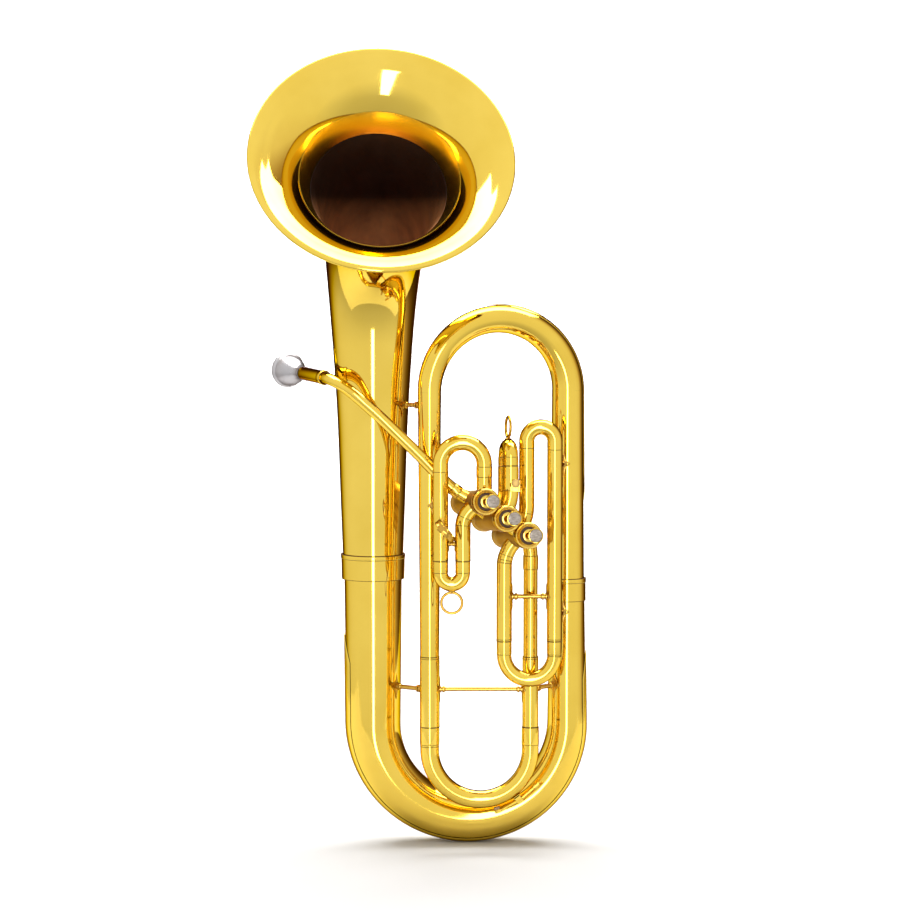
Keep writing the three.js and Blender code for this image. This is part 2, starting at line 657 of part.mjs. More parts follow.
function makeThirdSlide() {
  const from = axisAtY(2, THIRD_Y);
  const { left, right, top, archZ, sleeveZ, crookZ } = THIRD;
  const archR = (right - top) / 2;
  const start = from.clone().add(vec(1, 0, 5));
  const end = vec(top, THIRD_Y, THIRD_BEND_Z.archStraight);
  port(2, from, start.clone().add(vec(3, 0, 10)));
  const path = route(
    new THREE.QuadraticBezierCurve3(start, vec(top, THIRD_Y, THIRD_BEND_Z.arch), end),
    line(end, vec(top, THIRD_Y, archZ)),
    new Arc(vec((top + right) / 2, THIRD_Y, archZ), X, Z, archR, Math.PI, 0),
    line(vec(right, THIRD_Y, archZ), vec(right, THIRD_Y, sleeveZ)),
  );
  const length = path.getLength();
  const arch = tube(path, SLEEVE_OUT, SLEEVE_IN, { bands: [[length - 11, 10.9]] });
  add('third_slide_arch', cut(arch, casingSpace(2)), brass());

  const low = from.clone().add(vec(-3, 0, -5));
  const elbowEnd = vec(left, THIRD_Y, THIRD_BEND_Z.elbowStraight);
  port(2, from, low.clone().add(vec(-4, 0, -7)));
  const elbowPath = route(
    new THREE.QuadraticBezierCurve3(low, vec(left, THIRD_Y, THIRD_BEND_Z.elbow), elbowEnd),
    line(elbowEnd, vec(left, THIRD_Y, sleeveZ)),
  );
  const elbowLength = elbowPath.getLength();
  const elbow = tube(elbowPath, SLEEVE_OUT, SLEEVE_IN, { bands: [[elbowLength - 11, 10.9]] });
  add('third_slide_elbow', cut(elbow, casingSpace(2)), brass());

  const centre = vec((left + right) / 2, THIRD_Y, crookZ);
  const crook = slideCrook(centre, X, vec(0, 0, -1), (right - left) / 2, 76, 76, sleeveZ - GAP - crookZ);
  add('third_slide', crook, brass());
}
makeThirdSlide();

// ---------------------------------------------------------------------------------------------------
// Leadpipe, receiver and mouthpiece
// ---------------------------------------------------------------------------------------------------

const receiverEnd = RECEIVER_START.clone().addScaledVector(MOUTH_AXIS, RECEIVER_LENGTH);

function makeLeadpipe() {
  const from = axisAtY(0, LEAD_Y);
  const tip = RECEIVER_START.clone().addScaledVector(MOUTH_AXIS, 9);
  const bend = new THREE.CatmullRomCurve3([
    from.clone().add(vec(-5, 0, 2)),
    vec(-15.3, LEAD_Y, 389.5),
    vec(-58, LEAD_Y, 431.5),
    vec(-101.2, LEAD_Y, 473),
    vec(-131, LEAD_Y + 3, 498),
    RECEIVER_START.clone().addScaledVector(MOUTH_AXIS, -12).add(vec(2, -2, -1)),
    RECEIVER_START,
    tip,
  ], false, 'centripetal');
  port(0, from, from.clone().add(vec(-9, 0, 5)));
  const path = route(bend);
  const length = path.getLength();
  const pipe = tube(path, [[0, 6.6], [30, 6.4], [length, 6.1]], [[0, 5.9], [length, 5.4]],
    { up: Z, sides: 10, steps: 12 });
  add('leadpipe', cut(pipe, casingSpace(0)), brass());

  const receiver = turned([
    [0, 6.5], [0, 8], [8, 8], [8.6, 7.3], [RECEIVER_LENGTH, 7.7], [RECEIVER_LENGTH, 7.15], [14, 6.5],
  ], 14);
  add('mouthpiece_receiver', stand(receiver, RECEIVER_START, MOUTH_AXIS), brass());
}
makeLeadpipe();

// The mouthpiece stands on its shank: axial distances run from the shank's end to the rim.
function makeMouthpiece() {
  const L = MOUTHPIECE_LENGTH;
  const R = MOUTHPIECE_RIM;
  const body = turned([
    [0, 5.1], [L - 46, 6.8], [L - 36, 6.9], [L - 30, 8.4], [L - 22, 13.4], [L - 12, 16.4], [L - 6.5, 17.3],
    [L - 5.5, R], [L - 1.6, R], [L, R - 2], [L, R - 4.4], [L - 1.6, R - 6.2], [L - 8, 12.2],
    [L - 16, 10.6], [L - 22, 7], [L - 25, 3.2], [L - 34, 3.2], [0, 4.3],
  ], 20);
  const foot = receiverEnd.clone().addScaledVector(MOUTH_AXIS, MOUTHPIECE_OUT - L);
  add('mouthpiece', stand(body, foot, MOUTH_AXIS), silver());
}
makeMouthpiece();

// ---------------------------------------------------------------------------------------------------
// Valve pieces
// ---------------------------------------------------------------------------------------------------

function makeKnuckle(name, left, t) {
  const from = onAxis(left, t);
  const to = onAxis(left + 1, t);
  port(left, from, to);
  port(left + 1, to, from);
  const path = route(line(from.clone().lerp(to, 0.25), from.clone().lerp(to, 0.75)));
  const g = tube(path, SLEEVE_OUT - 0.3, BORE - 0.2, { up: VALVE_AXIS, sides: 12 });
  add(name, cut(g, casingSpace(left), casingSpace(left + 1)), brass());
}
makeKnuckle('knuckle_1_2', 0, 52);
makeKnuckle('knuckle_2_3', 1, 92);

function makeValve(n) {
  const valve = new THREE.Group();
  valve.position.copy(valveFoot[n]);
  valve.quaternion.copy(valveTurn);
  group.add(valve);
  const label = n + 1;
  const toLocal = new THREE.Matrix4().compose(valveFoot[n], valveTurn, vec(1, 1, 1)).invert();
  const ports = valvePorts[n].map((g) => g.clone().applyMatrix4(toLocal));

  const casing = turned([
    [3, CASING_IN], [3, CASING_OUT], [113.4, CASING_OUT], [113.4, CASING_IN],
  ], VALVE_SIDES);
  add(`valve_casing_${label}`, cut(casing, ...ports), brass(), valve);

  add(`valve_bottom_cap_${label}`, turned([
    [0, 2.2], [0, 12.6], [1.2, 13.9], [10, 13.9], [10, CASING_OUT + GAP], [2.7, CASING_OUT + GAP], [2.7, 2.2],
  ], VALVE_SIDES), capBrass(), valve);

  add(`valve_top_cap_${label}`, turned([
    [103, CASING_OUT + GAP], [103, CAP_R - 0.3], [104, CAP_R], [115.8, CAP_R], [117, 13.2], [117, 9.2],
    [115.6, 9.2], [115.6, STEM_R + 0.6], [113.8, STEM_R + 0.6], [113.8, CASING_OUT + GAP],
  ], VALVE_SIDES), capBrass(), valve);

  const rest = 113;
  const base = rest - PISTON_LENGTH;
  const buttonZ = VALVE_LENGTH + BUTTON_RISE - 5;
  const piston = turnedSolid([
    [base, 0], [base, PISTON_R], [rest, PISTON_R], [rest, STEM_R], [buttonZ + 2, STEM_R], [buttonZ + 2, 0],
  ], VALVE_SIDES);
  add(`valve_piston_${label}`, cut(piston, ...ports), nickel(), valve);

  add(`finger_button_${label}`, turned([
    [buttonZ, STEM_R + GAP], [buttonZ, 4.6], [buttonZ + 2.2, BUTTON_R], [buttonZ + 4.4, BUTTON_R],
    [buttonZ + 4.4, 7], [buttonZ + 2.9, 7], [buttonZ + 2.9, STEM_R + GAP],
  ], VALVE_SIDES), capBrass(), valve);
  add(`button_pearl_${label}`, turnedSolid([
    [buttonZ + 3.2, 0], [buttonZ + 3.2, 6.7], [buttonZ + 4.6, 6.7], [buttonZ + 5.2, 4.5], [buttonZ + 5.3, 0],
  ], 16), pearl(), valve);

  const wire = new THREE.Shape().absarc(0, 0, 0.6, 0, 2 * Math.PI);
  const spring = new THREE.ExtrudeGeometry(wire, {
    curveSegments: 3,
    steps: 24,
    extrudePath: new Helix(9, 3, 3.9, base - 1),
  });
  add(`valve_spring_${label}`, closed(spring), steel(), valve);
}
[0, 1, 2].forEach(makeValve);

// ---------------------------------------------------------------------------------------------------
// Braces, thumb ring and lyre holder
// ---------------------------------------------------------------------------------------------------

const upright = (x, y, z, radius) => bar(vec(x, y, z - 40), vec(x, y, z + 40), radius + GAP, 20);

// A brace: a thin rod with a flange at each end, cut to sit on the two tubes that it joins.
function brace(name, a, b, radiusA, radiusB, rod = 2.6) {
  const along = b.clone().sub(a).normalize();
  const flange = (from, radius, sign) => {
    const foot = from.clone().addScaledVector(along, sign * (radius - 2));
    return bar(foot, foot.clone().addScaledVector(along, sign * 4.2), 6.5, 10, 5);
  };
  const from = a.clone().addScaledVector(along, radiusA - 2);
  const to = b.clone().addScaledVector(along, -(radiusB - 2));
  const whole = join(bar(from, to, rod, 10), flange(a, radiusA, 1), flange(b, radiusB, -1));
  const g = cut(whole, upright(a.x, a.y, a.z, radiusA), upright(b.x, b.y, b.z, radiusB));
  add(name, g, brass());
}

brace('bell_brace', vec(STEM_X, 0, 478), vec(LEFT_X, MAIN_Y, 478), 39.4, 12.6);
brace('bow_brace_left', vec(STEM_X, 0, 173), vec(LEFT_X, MAIN_Y, 173), 30.2, TUNING_LEFT.out);
brace('tuning_brace', vec(LEFT_X, MAIN_Y, 173.5), vec(LEG_X, MAIN_Y, 173.5), TUNING_LEFT.out, TUNING_RIGHT.out, 3);
brace('bow_brace_right', vec(LEG_X, MAIN_Y, 174), vec(RIGHT_X, 0, 174), TUNING_RIGHT.out, 20.5);
brace('third_slide_brace', vec(THIRD.left, THIRD_Y, 276), vec(THIRD.right, THIRD_Y, 276), SLEEVE_OUT, SLEEVE_OUT);
brace('branch_brace_upper', vec(THIRD.right, THIRD_Y, 414), vec(RIGHT_X, 0, 414), SLEEVE_OUT, 17.8);
brace('branch_brace_lower', vec(THIRD.right, THIRD_Y, 254), vec(RIGHT_X, 0, 254), SLEEVE_OUT, 19.5);

function makeThumbRing() {
  const axis = vec(0.778, 0, 0.628).normalize();
  const centre = vec(-25.4, -102.5, 350);
  const band = stand(turned([[-3, 12.4], [-3, 14], [3, 14], [3, 12.4]], 18), centre, axis);
  const foot = bar(vec(-27, -89.6, 350), vec(-30.5, -80, 350), 5, 10, 7);
  const space = upright(FIRST.left, FIRST_Y, 350, SLEEVE_OUT);
  const hole = stand(turnedSolid([[-9, 0], [-9, 12.4], [9, 12.4], [9, 0]], 18), centre, axis);
  add('thumb_ring', cut(join(band, foot), space, hole), brass());
}
makeThumbRing();

// A square socket for a music lyre, on the front of the second slide's front sleeve, and its clamp screw.
const LYRE = { at: vec(48.2, -91.6, 397), block: 9.8, slot: 5.6, height: 12 };

function makeLyreHolder() {
  const { at, block, slot, height } = LYRE;
  const box = new THREE.BoxGeometry(block, block, height).translate(at.x, at.y, at.z);
  const hollow = new THREE.BoxGeometry(slot, slot, height * 2).translate(at.x, at.y, at.z);
  const foot = bar(vec(45.5, -78, at.z), vec(at.x - 0.6, at.y + slot / 2 + 0.8, at.z), 4.4, 10, 3.6);
  const legAt = (z) => vec(SECOND.x, SECOND.y, axisAtY(1, SECOND.y).z)
    .addScaledVector(VALVE_AXIS, SECOND.spread)
    .addScaledVector(SECOND_UP, z);
  const sleeveSpace = bar(legAt(0), legAt(70), SLEEVE_OUT + GAP, 20);
  const screwZ = at.z + 3;
  const screwHole = bar(vec(at.x, at.y - block, screwZ), vec(at.x, at.y, screwZ), 1.6, 10);
  add('lyre_holder', cut(join(box, foot), hollow, screwHole, sleeveSpace), brass());

  const screw = turnedSolid([
    [0, 0], [0, 1.25], [4.2, 1.25], [4.2, 3.8], [5, 4.3], [7.4, 4.3], [8.2, 3.8], [8.2, 0],
  ], 14);
  add('lyre_screw', stand(screw, vec(at.x, at.y - slot / 2 - 0.1, screwZ), vec(0, -1, 0)), brass());
}
makeLyreHolder();

export default group;
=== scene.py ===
"""The baritone horn's looks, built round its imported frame.

Lengths are in millimetres until a mesh is made, and then in metres. The tubes repeat the driving sizes and
routes of the CAD part, so each fine mesh lies where its CAD node does. A tube is a closed outline of
[distance, radius] pairs, turned about its route and bent along it.
"""

import bisect
import itertools
import math

import bmesh
import bpy
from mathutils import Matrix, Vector


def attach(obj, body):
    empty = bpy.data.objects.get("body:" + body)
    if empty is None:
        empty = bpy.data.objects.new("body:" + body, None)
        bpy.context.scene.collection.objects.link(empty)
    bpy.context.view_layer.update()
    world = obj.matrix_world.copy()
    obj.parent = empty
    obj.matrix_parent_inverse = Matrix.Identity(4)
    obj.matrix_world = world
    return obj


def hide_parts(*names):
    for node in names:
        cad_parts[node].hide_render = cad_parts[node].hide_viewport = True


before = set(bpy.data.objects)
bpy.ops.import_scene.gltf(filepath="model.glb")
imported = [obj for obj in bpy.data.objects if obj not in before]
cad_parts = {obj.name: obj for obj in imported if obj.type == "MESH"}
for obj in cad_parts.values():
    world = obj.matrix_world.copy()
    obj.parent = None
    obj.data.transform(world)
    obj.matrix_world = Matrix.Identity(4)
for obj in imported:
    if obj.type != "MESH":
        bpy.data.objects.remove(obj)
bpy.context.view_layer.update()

MM = 0.001
X, Y, Z = Vector((1, 0, 0)), Vector((0, 1, 0)), Vector((0, 0, 1))

# ---- Driving sizes, as in the CAD part ----

STEM_X, RIGHT_X, LEFT_X, LEG_X = -104, 106, -42.5, 65.5
MAIN_Y, LEAD_Y, FIRST_Y, THIRD_Y = -41, -61.5, -78, -59.5
BOW_Z = 131.8
BOW_R, BOW_X = (RIGHT_X - STEM_X) / 2, (RIGHT_X + STEM_X) / 2
BELL_JOINT_Z, BELL_BEND_Z = 302, 545
BELL_RIM = Vector((-89.6, -165, 738.4))
BELL_SWING, BELL_PITCH = math.radians(5), math.radians(32.7)
BELL_STRAIGHT, BELL_WALL = 95, 1.0
BRANCH_JOINT_Z, TOP_BOW_Z, TUNING_JOINT_Z = 277, 492.5, 209
BORE, LEG_OUT, SLEEVE_IN, SLEEVE_OUT = 6.9, 7.4, 7.75, 8.35
CROOK_OUT = LEG_OUT + 0.35
SLEEVE_END_Z, CROOK_Z = 133, 108
CROOK_X, CROOK_R = (LEG_X + LEFT_X) / 2, (LEG_X - LEFT_X) / 2
TUNING_LEFT = {"out": 10.8, "in": 10.1, "leg": 9.7, "bore": 9.1}
TUNING_RIGHT = {"out": 8.7, "in": 8.05, "leg": 7.7, "bore": 7.1}
TUNING_LEG = {"bend": 335, "straight": 318.5}
VALVE_FACE = Vector((40, -107, 363.6))
AXIS = Vector((0.2127, -0.9723, 0.0974)).normalized()
ROW = Vector((0.772, 0.1062, -0.6264)).normalized()
PITCH, VALVE_LENGTH = 28.8, 117
CASING_OUT, CASING_IN, CAP_R = 12.7, 11.6, 14.2
BUTTON_RISE, BUTTON_R = 30.5, 8
FIRST = {"left": -30.5, "right": -7, "top": 15.5, "arch": 418.4, "sleeve": 316, "crook": 303}
FIRST_ELBOW = {"bend": 367, "straight": 352}
THIRD = {"left": 37, "right": 90.5, "top": 60.7, "arch": 441.6, "sleeve": 228.2, "crook": 213.6}
THIRD_ARCH = {"bend": 360, "straight": 374}
THIRD_ELBOW = {"bend": 324, "straight": 308}
SECOND = {"x": 41, "y": -68, "spread": 11.9, "bend": 377, "straight": 388, "sleeve": 415, "crook": 424.7}
RING_R, RING_WIRE, RING_RISE = 11, 1.5, 1.1
PEARL_R, BARREL, BARREL_R = 6.6, 7.6, 5.4
MOUTH_AXIS = Vector((-0.45, 0.89, 0.045)).normalized()
RECEIVER_START = Vector((-153.9, -34, 507.2))
RECEIVER_LENGTH = 55.6
MOUTHPIECE_OUT, MOUTHPIECE_LENGTH, MOUTHPIECE_RIM = 46, 82, 19.2

# The gap left between the ends of two pieces that butt.
BUTT = 0.3
ROUND = 56
BEND_STEP = 3.0

# ---- Routes ----


def straight(a, b):
    return "line", [a.lerp(b, i / 4) for i in range(5)]


def arc(centre, e1, e2, radius, start, end, steps=180):
    angles = [start + (end - start) * i / steps for i in range(steps + 1)]
    return "bend", [centre + e1 * (radius * math.cos(a)) + e2 * (radius * math.sin(a)) for a in angles]


def bezier(*control, steps=180):
    def at(t):
        points = list(control)
        while len(points) > 1:
            points = [p.lerp(q, t) for p, q in zip(points, points[1:])]
        return points[0]

    return "bend", [at(i / steps) for i in range(steps + 1)]


def catmull(points, steps=40):
    """A smooth curve through points, with the centripetal spacing that avoids loops."""
    ends = [points[0] * 2 - points[1], *points, points[-1] * 2 - points[-2]]
    made = []
    for p0, p1, p2, p3 in zip(ends, ends[1:], ends[2:], ends[3:]):
        t1 = (p1 - p0).length ** 0.5
        t2 = t1 + (p2 - p1).length ** 0.5
        t3 = t2 + (p3 - p2).length ** 0.5
        for i in range(steps):
            t = t1 + (t2 - t1) * i / steps
            a1 = p0.lerp(p1, t / t1)
            a2 = p1.lerp(p2, (t - t1) / (t2 - t1))
            a3 = p2.lerp(p3, (t - t2) / (t3 - t2))
            b1 = a1.lerp(a2, t / t2)
            b2 = a2.lerp(a3, (t - t1) / (t3 - t1))
            made.append(b1.lerp(b2, (t - t1) / (t2 - t1)))
    return [*made, points[-1].copy()]


class Route:
    """Straight and bent pieces end to end, measured by distance."""

    def __init__(self, *pieces):
        self.points, self.places, self.spans = [pieces[0][1][0]], [0.0], []
        for kind, points in pieces:
            start = self.places[-1]
            for p in points[1:]:
                self.places.append(self.places[-1] + (p - self.points[-1]).length)
                self.points.append(p)
            self.spans.append((kind, start, self.places[-1]))
        self.length = self.places[-1]
        self.tangents = []
        for i in range(len(self.points)):
            before, after = self.points[max(i - 1, 0)], self.points[min(i + 1, len(self.points) - 1)]
            self.tangents.append((after - before).normalized())

    def at(self, distance):
        d = min(max(distance, 0.0), self.length)
        i = min(max(bisect.bisect_right(self.places, d) - 1, 0), len(self.points) - 2)
        t = (d - self.places[i]) / (self.places[i + 1] - self.places[i])
        tangent = self.tangents[i].lerp(self.tangents[i + 1], t)
        return self.points[i].lerp(self.points[i + 1], t), tangent.normalized()

    def rings(self, step=BEND_STEP):
        """Distances that need a ring: the ends of each piece, and steps within each bend."""
        made = [0.0]
        for kind, start, end in self.spans:
            count = max(2, round((end - start) / step)) if kind == "bend" else 1
            made += [start + (end - start) * (i + 1) / count for i in range(count)]
        return made

    def frame(self, distance, up):
        centre, tangent = self.at(distance)
        across = up.cross(tangent).normalized()
        return centre, across, tangent.cross(across)


def between(table, distance):
    """Linear interpolation in a list of (distance, radius), or a plain number."""
    if isinstance(table, (int, float)):
        return table
    for (d0, r0), (d1, r1) in zip(table, table[1:]):
        if distance <= d1:
            return r0 + (r1 - r0) * max(distance - d0, 0) / (d1 - d0)
    return table[-1][1]


# ---- Meshes ----


def mesh_object(name, points, faces, sharp=38):
    """A smooth-shaded mesh of millimetre points. Edges over the sharp angle stay crisp."""
    mesh = bpy.data.meshes.new(name)
    mesh.from_pydata([p * MM for p in points], [], faces)
    mesh.validate()
    mesh.shade_smooth()
    mesh.set_sharp_from_angle(angle=math.radians(sharp))
    made = bpy.data.objects.new(name, mesh)
    bpy.context.collection.objects.link(made)
    return made


def lathe_faces(rows, sides, offset=0):
    """Faces of a closed outline turned into a ring: row after row, and the last row back to the first."""
    faces = []
    for i in range(rows):
        low, high = offset + i * sides, offset + (i + 1) % rows * sides
        for k in range(sides):
            n = (k + 1) % sides
            faces.append((low + k, low + n, high + n, high + k))
    return faces


def ring_points(centre, across, over, radius, sides):
    angles = [2 * math.pi * k / sides for k in range(sides)]
    return [centre + across * (radius * math.cos(a)) + over * (radius * math.sin(a)) for a in angles]


def bent(route, outline, up, sides=ROUND):
    """Points and faces of a closed outline of [distance, radius] pairs bent along a route."""
    points = []
    for distance, radius in outline:
        points += ring_points(*route.frame(distance, up), radius, sides)
    return points, lathe_faces(len(outline), sides)


def band_points(at, width, base, rise):
    """A ferrule: a flat band whose ends are rounded over."""
    end = at + width
    half = [(0.0, 0.0), (0.04, 0.6 * rise), (0.2, 0.9 * rise), (0.5, rise)]
    left = [(at + d, base(at) + r) for d, r in half]
    right = [(end - d, base(end) + r) for d, r in reversed(half)]
    return left + right


def tube(route, outer, inner, up=Y, bands=(), lines=(), rise=0.35, sides=ROUND, step=BEND_STEP,
         body="horn_body"):
    """A hollow tube along a route, with ferrules at bands and a dark joint line at each end of one."""
    base = lambda d: between(outer, d)
    places = route.rings(step)
    inside_band = lambda d: any(at - 0.2 <= d <= at + width + 0.2 for at, width in bands)
    outside = [(d, base(d)) for d in places if not inside_band(d)]
    for at, width in bands:
        outside += band_points(at, width, base, rise)
        for d in (at, at + width):
            joint_line(body, route, d, base(d) + rise * 0.6, up)
    for d in lines:
        joint_line(body, route, d, base(d), up)
    outside.sort(key=lambda p: p[0])
    inside = [(d, between(inner, d)) for d in reversed(places)]
    return bent(route, outside + inside, up, sides)


LINE_WIRE = 0.42
joint_lines = {}


def joint_line(body, route, distance, radius, up):
    """Notes a thin dark line round a joint."""
    centre, across, over = route.frame(distance, up)
    shape = torus(centre, across, over, radius - LINE_WIRE * 0.6, LINE_WIRE, 56, 6)
    joint_lines.setdefault(body, []).append(shape)


def turned(outline, at, axis, sides=ROUND):
    """Points and faces of a piece turned about an axis. A solid's outline starts and ends on the axis."""
    side = axis.orthogonal().normalized()
    over = axis.cross(side)
    rings = [ring_points(at + axis * d, side, over, r, sides) for d, r in outline if r > 0]
    points = [p for ring in rings for p in ring]
    if outline[0][1] > 0:
        return points, lathe_faces(len(rings), sides)
    points = [at + axis * outline[0][0], *points, at + axis * outline[-1][0]]
    last = len(points) - 1
    faces = lathe_faces(len(rings), sides, 1)[: (len(rings) - 1) * sides]
    for k in range(sides):
        n = (k + 1) % sides
        faces.append((0, 1 + n, 1 + k))
        faces.append((last, last - sides + k, last - sides + n))
    return points, faces


def torus(centre, e1, e2, radius, wire, around=64, section=20):
    normal = e1.cross(e2)
    points = []
    for i in range(around):
        a = 2 * math.pi * i / around
        out = e1 * math.cos(a) + e2 * math.sin(a)
        points += ring_points(centre + out * radius, out, normal, wire, section)
    return points, lathe_faces(around, section)


def together(*shapes):
    points, faces = [], []
    for p, f in shapes:
        base = len(points)
        points += p
        faces += [tuple(base + v for v in face) for face in f]
    return points, faces


def piece(name, shape, material, body="horn_body", sharp=38):
    """Makes a piece, turns its faces outwards, and hangs it on the empty of the body that it rides on.

    It stands for the CAD node of its name, if there is one.
    """
    made = mesh_object(name, *shape, sharp=sharp)
    fix_normals(made)
    made.data.materials.append(material)
    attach(made, body)
    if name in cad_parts:
        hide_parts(name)
    return made


def fix_normals(made):
    work = bmesh.new()
    work.from_mesh(made.data)
    bmesh.ops.recalc_face_normals(work, faces=work.faces)
    work.to_mesh(made.data)
    work.free()


# ---- Materials ----


class Nodes:
    """A short way to write the nodes of a material or of the world."""

    def __init__(self, owner, shader):
        owner.use_nodes = True
        self.owner = owner
        self.tree = owner.node_tree
        self.shader = self.tree.nodes[shader]

    def add(self, kind, **values):
        node = self.tree.nodes.new(kind)
        for key, value in values.items():
            setattr(node, key, value)
        return node

    def link(self, a, b):
        self.tree.links.new(a, b)

    def set(self, **values):
        for key, value in values.items():
            self.shader.inputs[key.replace("_", " ")].default_value = value

    def noise(self, scale, detail=4.0, roughness=0.5, stretch=(1, 1, 1)):
        place = self.add("ShaderNodeTexCoord")
        mapping = self.add("ShaderNodeMapping")
        mapping.inputs["Scale"].default_value = stretch
        noise = self.add("ShaderNodeTexNoise")
        noise.inputs["Scale"].default_value = scale
        noise.inputs["Detail"].default_value = detail
        noise.inputs["Roughness"].default_value = roughness
        self.link(place.outputs["Object"], mapping.inputs["Vector"])
        self.link(mapping.outputs["Vector"], noise.inputs["Vector"])
        return noise.outputs["Fac"]

    def ramp(self, fac, *stops):
        ramp = self.add("ShaderNodeValToRGB")
        elements = ramp.color_ramp.elements
        while len(elements) < len(stops):
            elements.new(0.5)
        for element, (place, colour) in zip(elements, stops):
            element.position = place
            element.color = (*colour, 1)
        self.link(fac, ramp.inputs["Fac"])
        return ramp.outputs["Color"]

    def colour(self, fac, *stops):
        self.link(self.ramp(fac, *stops), self.shader.inputs["Base Color"])

    def split(self, place):
        """The X, Y and Z of a texture coordinate."""
        source = self.add("ShaderNodeTexCoord")
        split = self.add("ShaderNodeSeparateXYZ")
        self.link(source.outputs[place], split.inputs["Vector"])
        return split.outputs

    def times(self, a, b):
        both = self.add("ShaderNodeVectorMath", operation="MULTIPLY")
        self.link(a, both.inputs[0])
        self.link(b, both.inputs[1])
        return both.outputs["Vector"]

    def span(self, fac, low, high, start=0.3, end=0.7):
        node = self.add("ShaderNodeMapRange")
        for key, value in {"From Min": start, "From Max": end, "To Min": low, "To Max": high}.items():
            node.inputs[key].default_value = value
        self.link(fac, node.inputs["Value"])
        return node.outputs["Result"]

    def bump(self, height, strength, distance):
        node = self.add("ShaderNodeBump")
        node.inputs["Strength"].default_value = strength
        node.inputs["Distance"].default_value = distance
        self.link(height, node.inputs["Height"])
        self.link(node.outputs["Normal"], self.shader.inputs["Normal"])


def painted(name):
    return Nodes(bpy.data.materials.new(name), "Principled BSDF")


def metal(name, deep, pale, rough, edge=(1.0, 1.0, 1.0), smear=0.05, ripple=0.02):
    """Polished metal: a colour that drifts slowly, a smeared polish and a faint ripple from hand work. An
    edge tint darker than the colour paints shade into the grazing edges, as dark outlines.
    """
    n = painted(name)
    n.set(Metallic=1.0, Specular_Tint=(*edge, 1.0))
    n.colour(n.noise(14, 3, 0.55), (0.3, deep), (0.7, pale))
    n.link(n.span(n.noise(55, 5, 0.6), rough, rough + smear), n.shader.inputs["Roughness"])
    n.bump(n.noise(60, 2, 0.5), ripple, 0.0006)
    return n.owner


# Painted shade: a dark brown edge tint that darkens each brass surface at grazing angles into a dark outline.
PAINTED_EDGE_SHADE = (0.16, 0.07, 0.015)


def lacquered_brass():
    return metal("lacquered_brass", (0.80, 0.545, 0.075), (0.87, 0.615, 0.10), 0.05, PAINTED_EDGE_SHADE, 0.04)


def bell_brass():
    return metal("bell_brass", (0.82, 0.57, 0.085), (0.88, 0.63, 0.11), 0.04, PAINTED_EDGE_SHADE, 0.04)


def cap_brass():
    return metal("cap_brass", (0.74, 0.50, 0.09), (0.83, 0.58, 0.13), 0.12, PAINTED_EDGE_SHADE, 0.1)


def dull_brass():
    return metal("dull_brass", (0.42, 0.27, 0.08), (0.54, 0.36, 0.12), 0.34, PAINTED_EDGE_SHADE, 0.15, 0.05)


def satin_brass():
    return metal("satin_brass", (0.60, 0.40, 0.12), (0.70, 0.48, 0.16), 0.36, PAINTED_EDGE_SHADE, 0.12, 0.04)


def worn_brass():
    # Its near-black edge tint is painted shade that darkens the grazing edges into dark outlines.
    return metal("worn_brass", (0.50, 0.29, 0.045), (0.62, 0.37, 0.07), 0.16, (0.1, 0.04, 0.01), 0.1, 0.04)


def throat_amber():
    return metal("throat_amber", (0.76, 0.44, 0.03), (0.88, 0.54, 0.05), 0.17, smear=0.06)


def bore_tarnish_and_shade():
    n = painted("bore_tarnish_and_shade")
    n.set(Metallic=0.5)
    streaks = n.noise(40, 3, 0.6, (1, 1, 0.12))
    colour = n.ramp(streaks, (0.3, (0.42, 0.17, 0.07)), (0.7, (0.74, 0.32, 0.12)))
    # Painted shade: above 0.655 m the bore's colour falls to near black, for the shade on its upper wall,
    # which faces down.
    low = n.ramp(n.split("Object")["Z"], (0.655, (1, 1, 1)), (0.70, (0.03, 0.02, 0.02)))
    n.link(n.times(colour, low), n.shader.inputs["Base Color"])
    n.link(n.span(n.noise(60, 3, 0.5), 0.42, 0.55), n.shader.inputs["Roughness"])
    return n.owner


def dark_seam():
    return metal("dark_seam", (0.10, 0.045, 0.012), (0.18, 0.085, 0.02), 0.5, smear=0.2, ripple=0.05)


def silver_plate():
    # Its dark brown edge tint is painted shade that darkens the grazing edges into dark outlines.
    return metal("silver_plate", (0.40, 0.385, 0.395), (0.52, 0.505, 0.515), 0.24, (0.12, 0.09, 0.07), 0.1)


def nickel_plate():
    return metal("nickel_plate", (0.56, 0.53, 0.48), (0.66, 0.63, 0.58), 0.22, smear=0.12)


def spring_steel():
    return metal("spring_steel", (0.30, 0.30, 0.31), (0.42, 0.42, 0.43), 0.32, smear=0.1)


def button_pearl():
    n = painted("button_pearl")
    n.set(Roughness=0.22, Coat_Weight=0.6, Coat_Roughness=0.05, Subsurface_Weight=0.06)
    bands = n.noise(260, 3, 0.6, stretch=(1, 1, 2.2))
    stops = ((0.32, (0.22, 0.17, 0.13)), (0.5, (0.33, 0.27, 0.22)), (0.68, (0.43, 0.36, 0.30)))
    n.colour(bands, *stops)
    return n.owner


def dark_felt():
    n = painted("dark_felt")
    n.set(Roughness=0.95, Sheen_Weight=0.4)
    fibre = n.noise(2600, 6, 0.75)
    n.colour(fibre, (0.3, (0.035, 0.014, 0.008)), (0.7, (0.11, 0.05, 0.03)))
    n.bump(fibre, 0.7, 0.0004)
    return n.owner


def cork():
    n = painted("cork")
    n.set(Roughness=0.85)
    grain = n.noise(900, 5, 0.7)
    n.colour(grain, (0.35, (0.22, 0.12, 0.06)), (0.6, (0.46, 0.30, 0.17)))
    n.bump(grain, 0.4, 0.0003)
    return n.owner


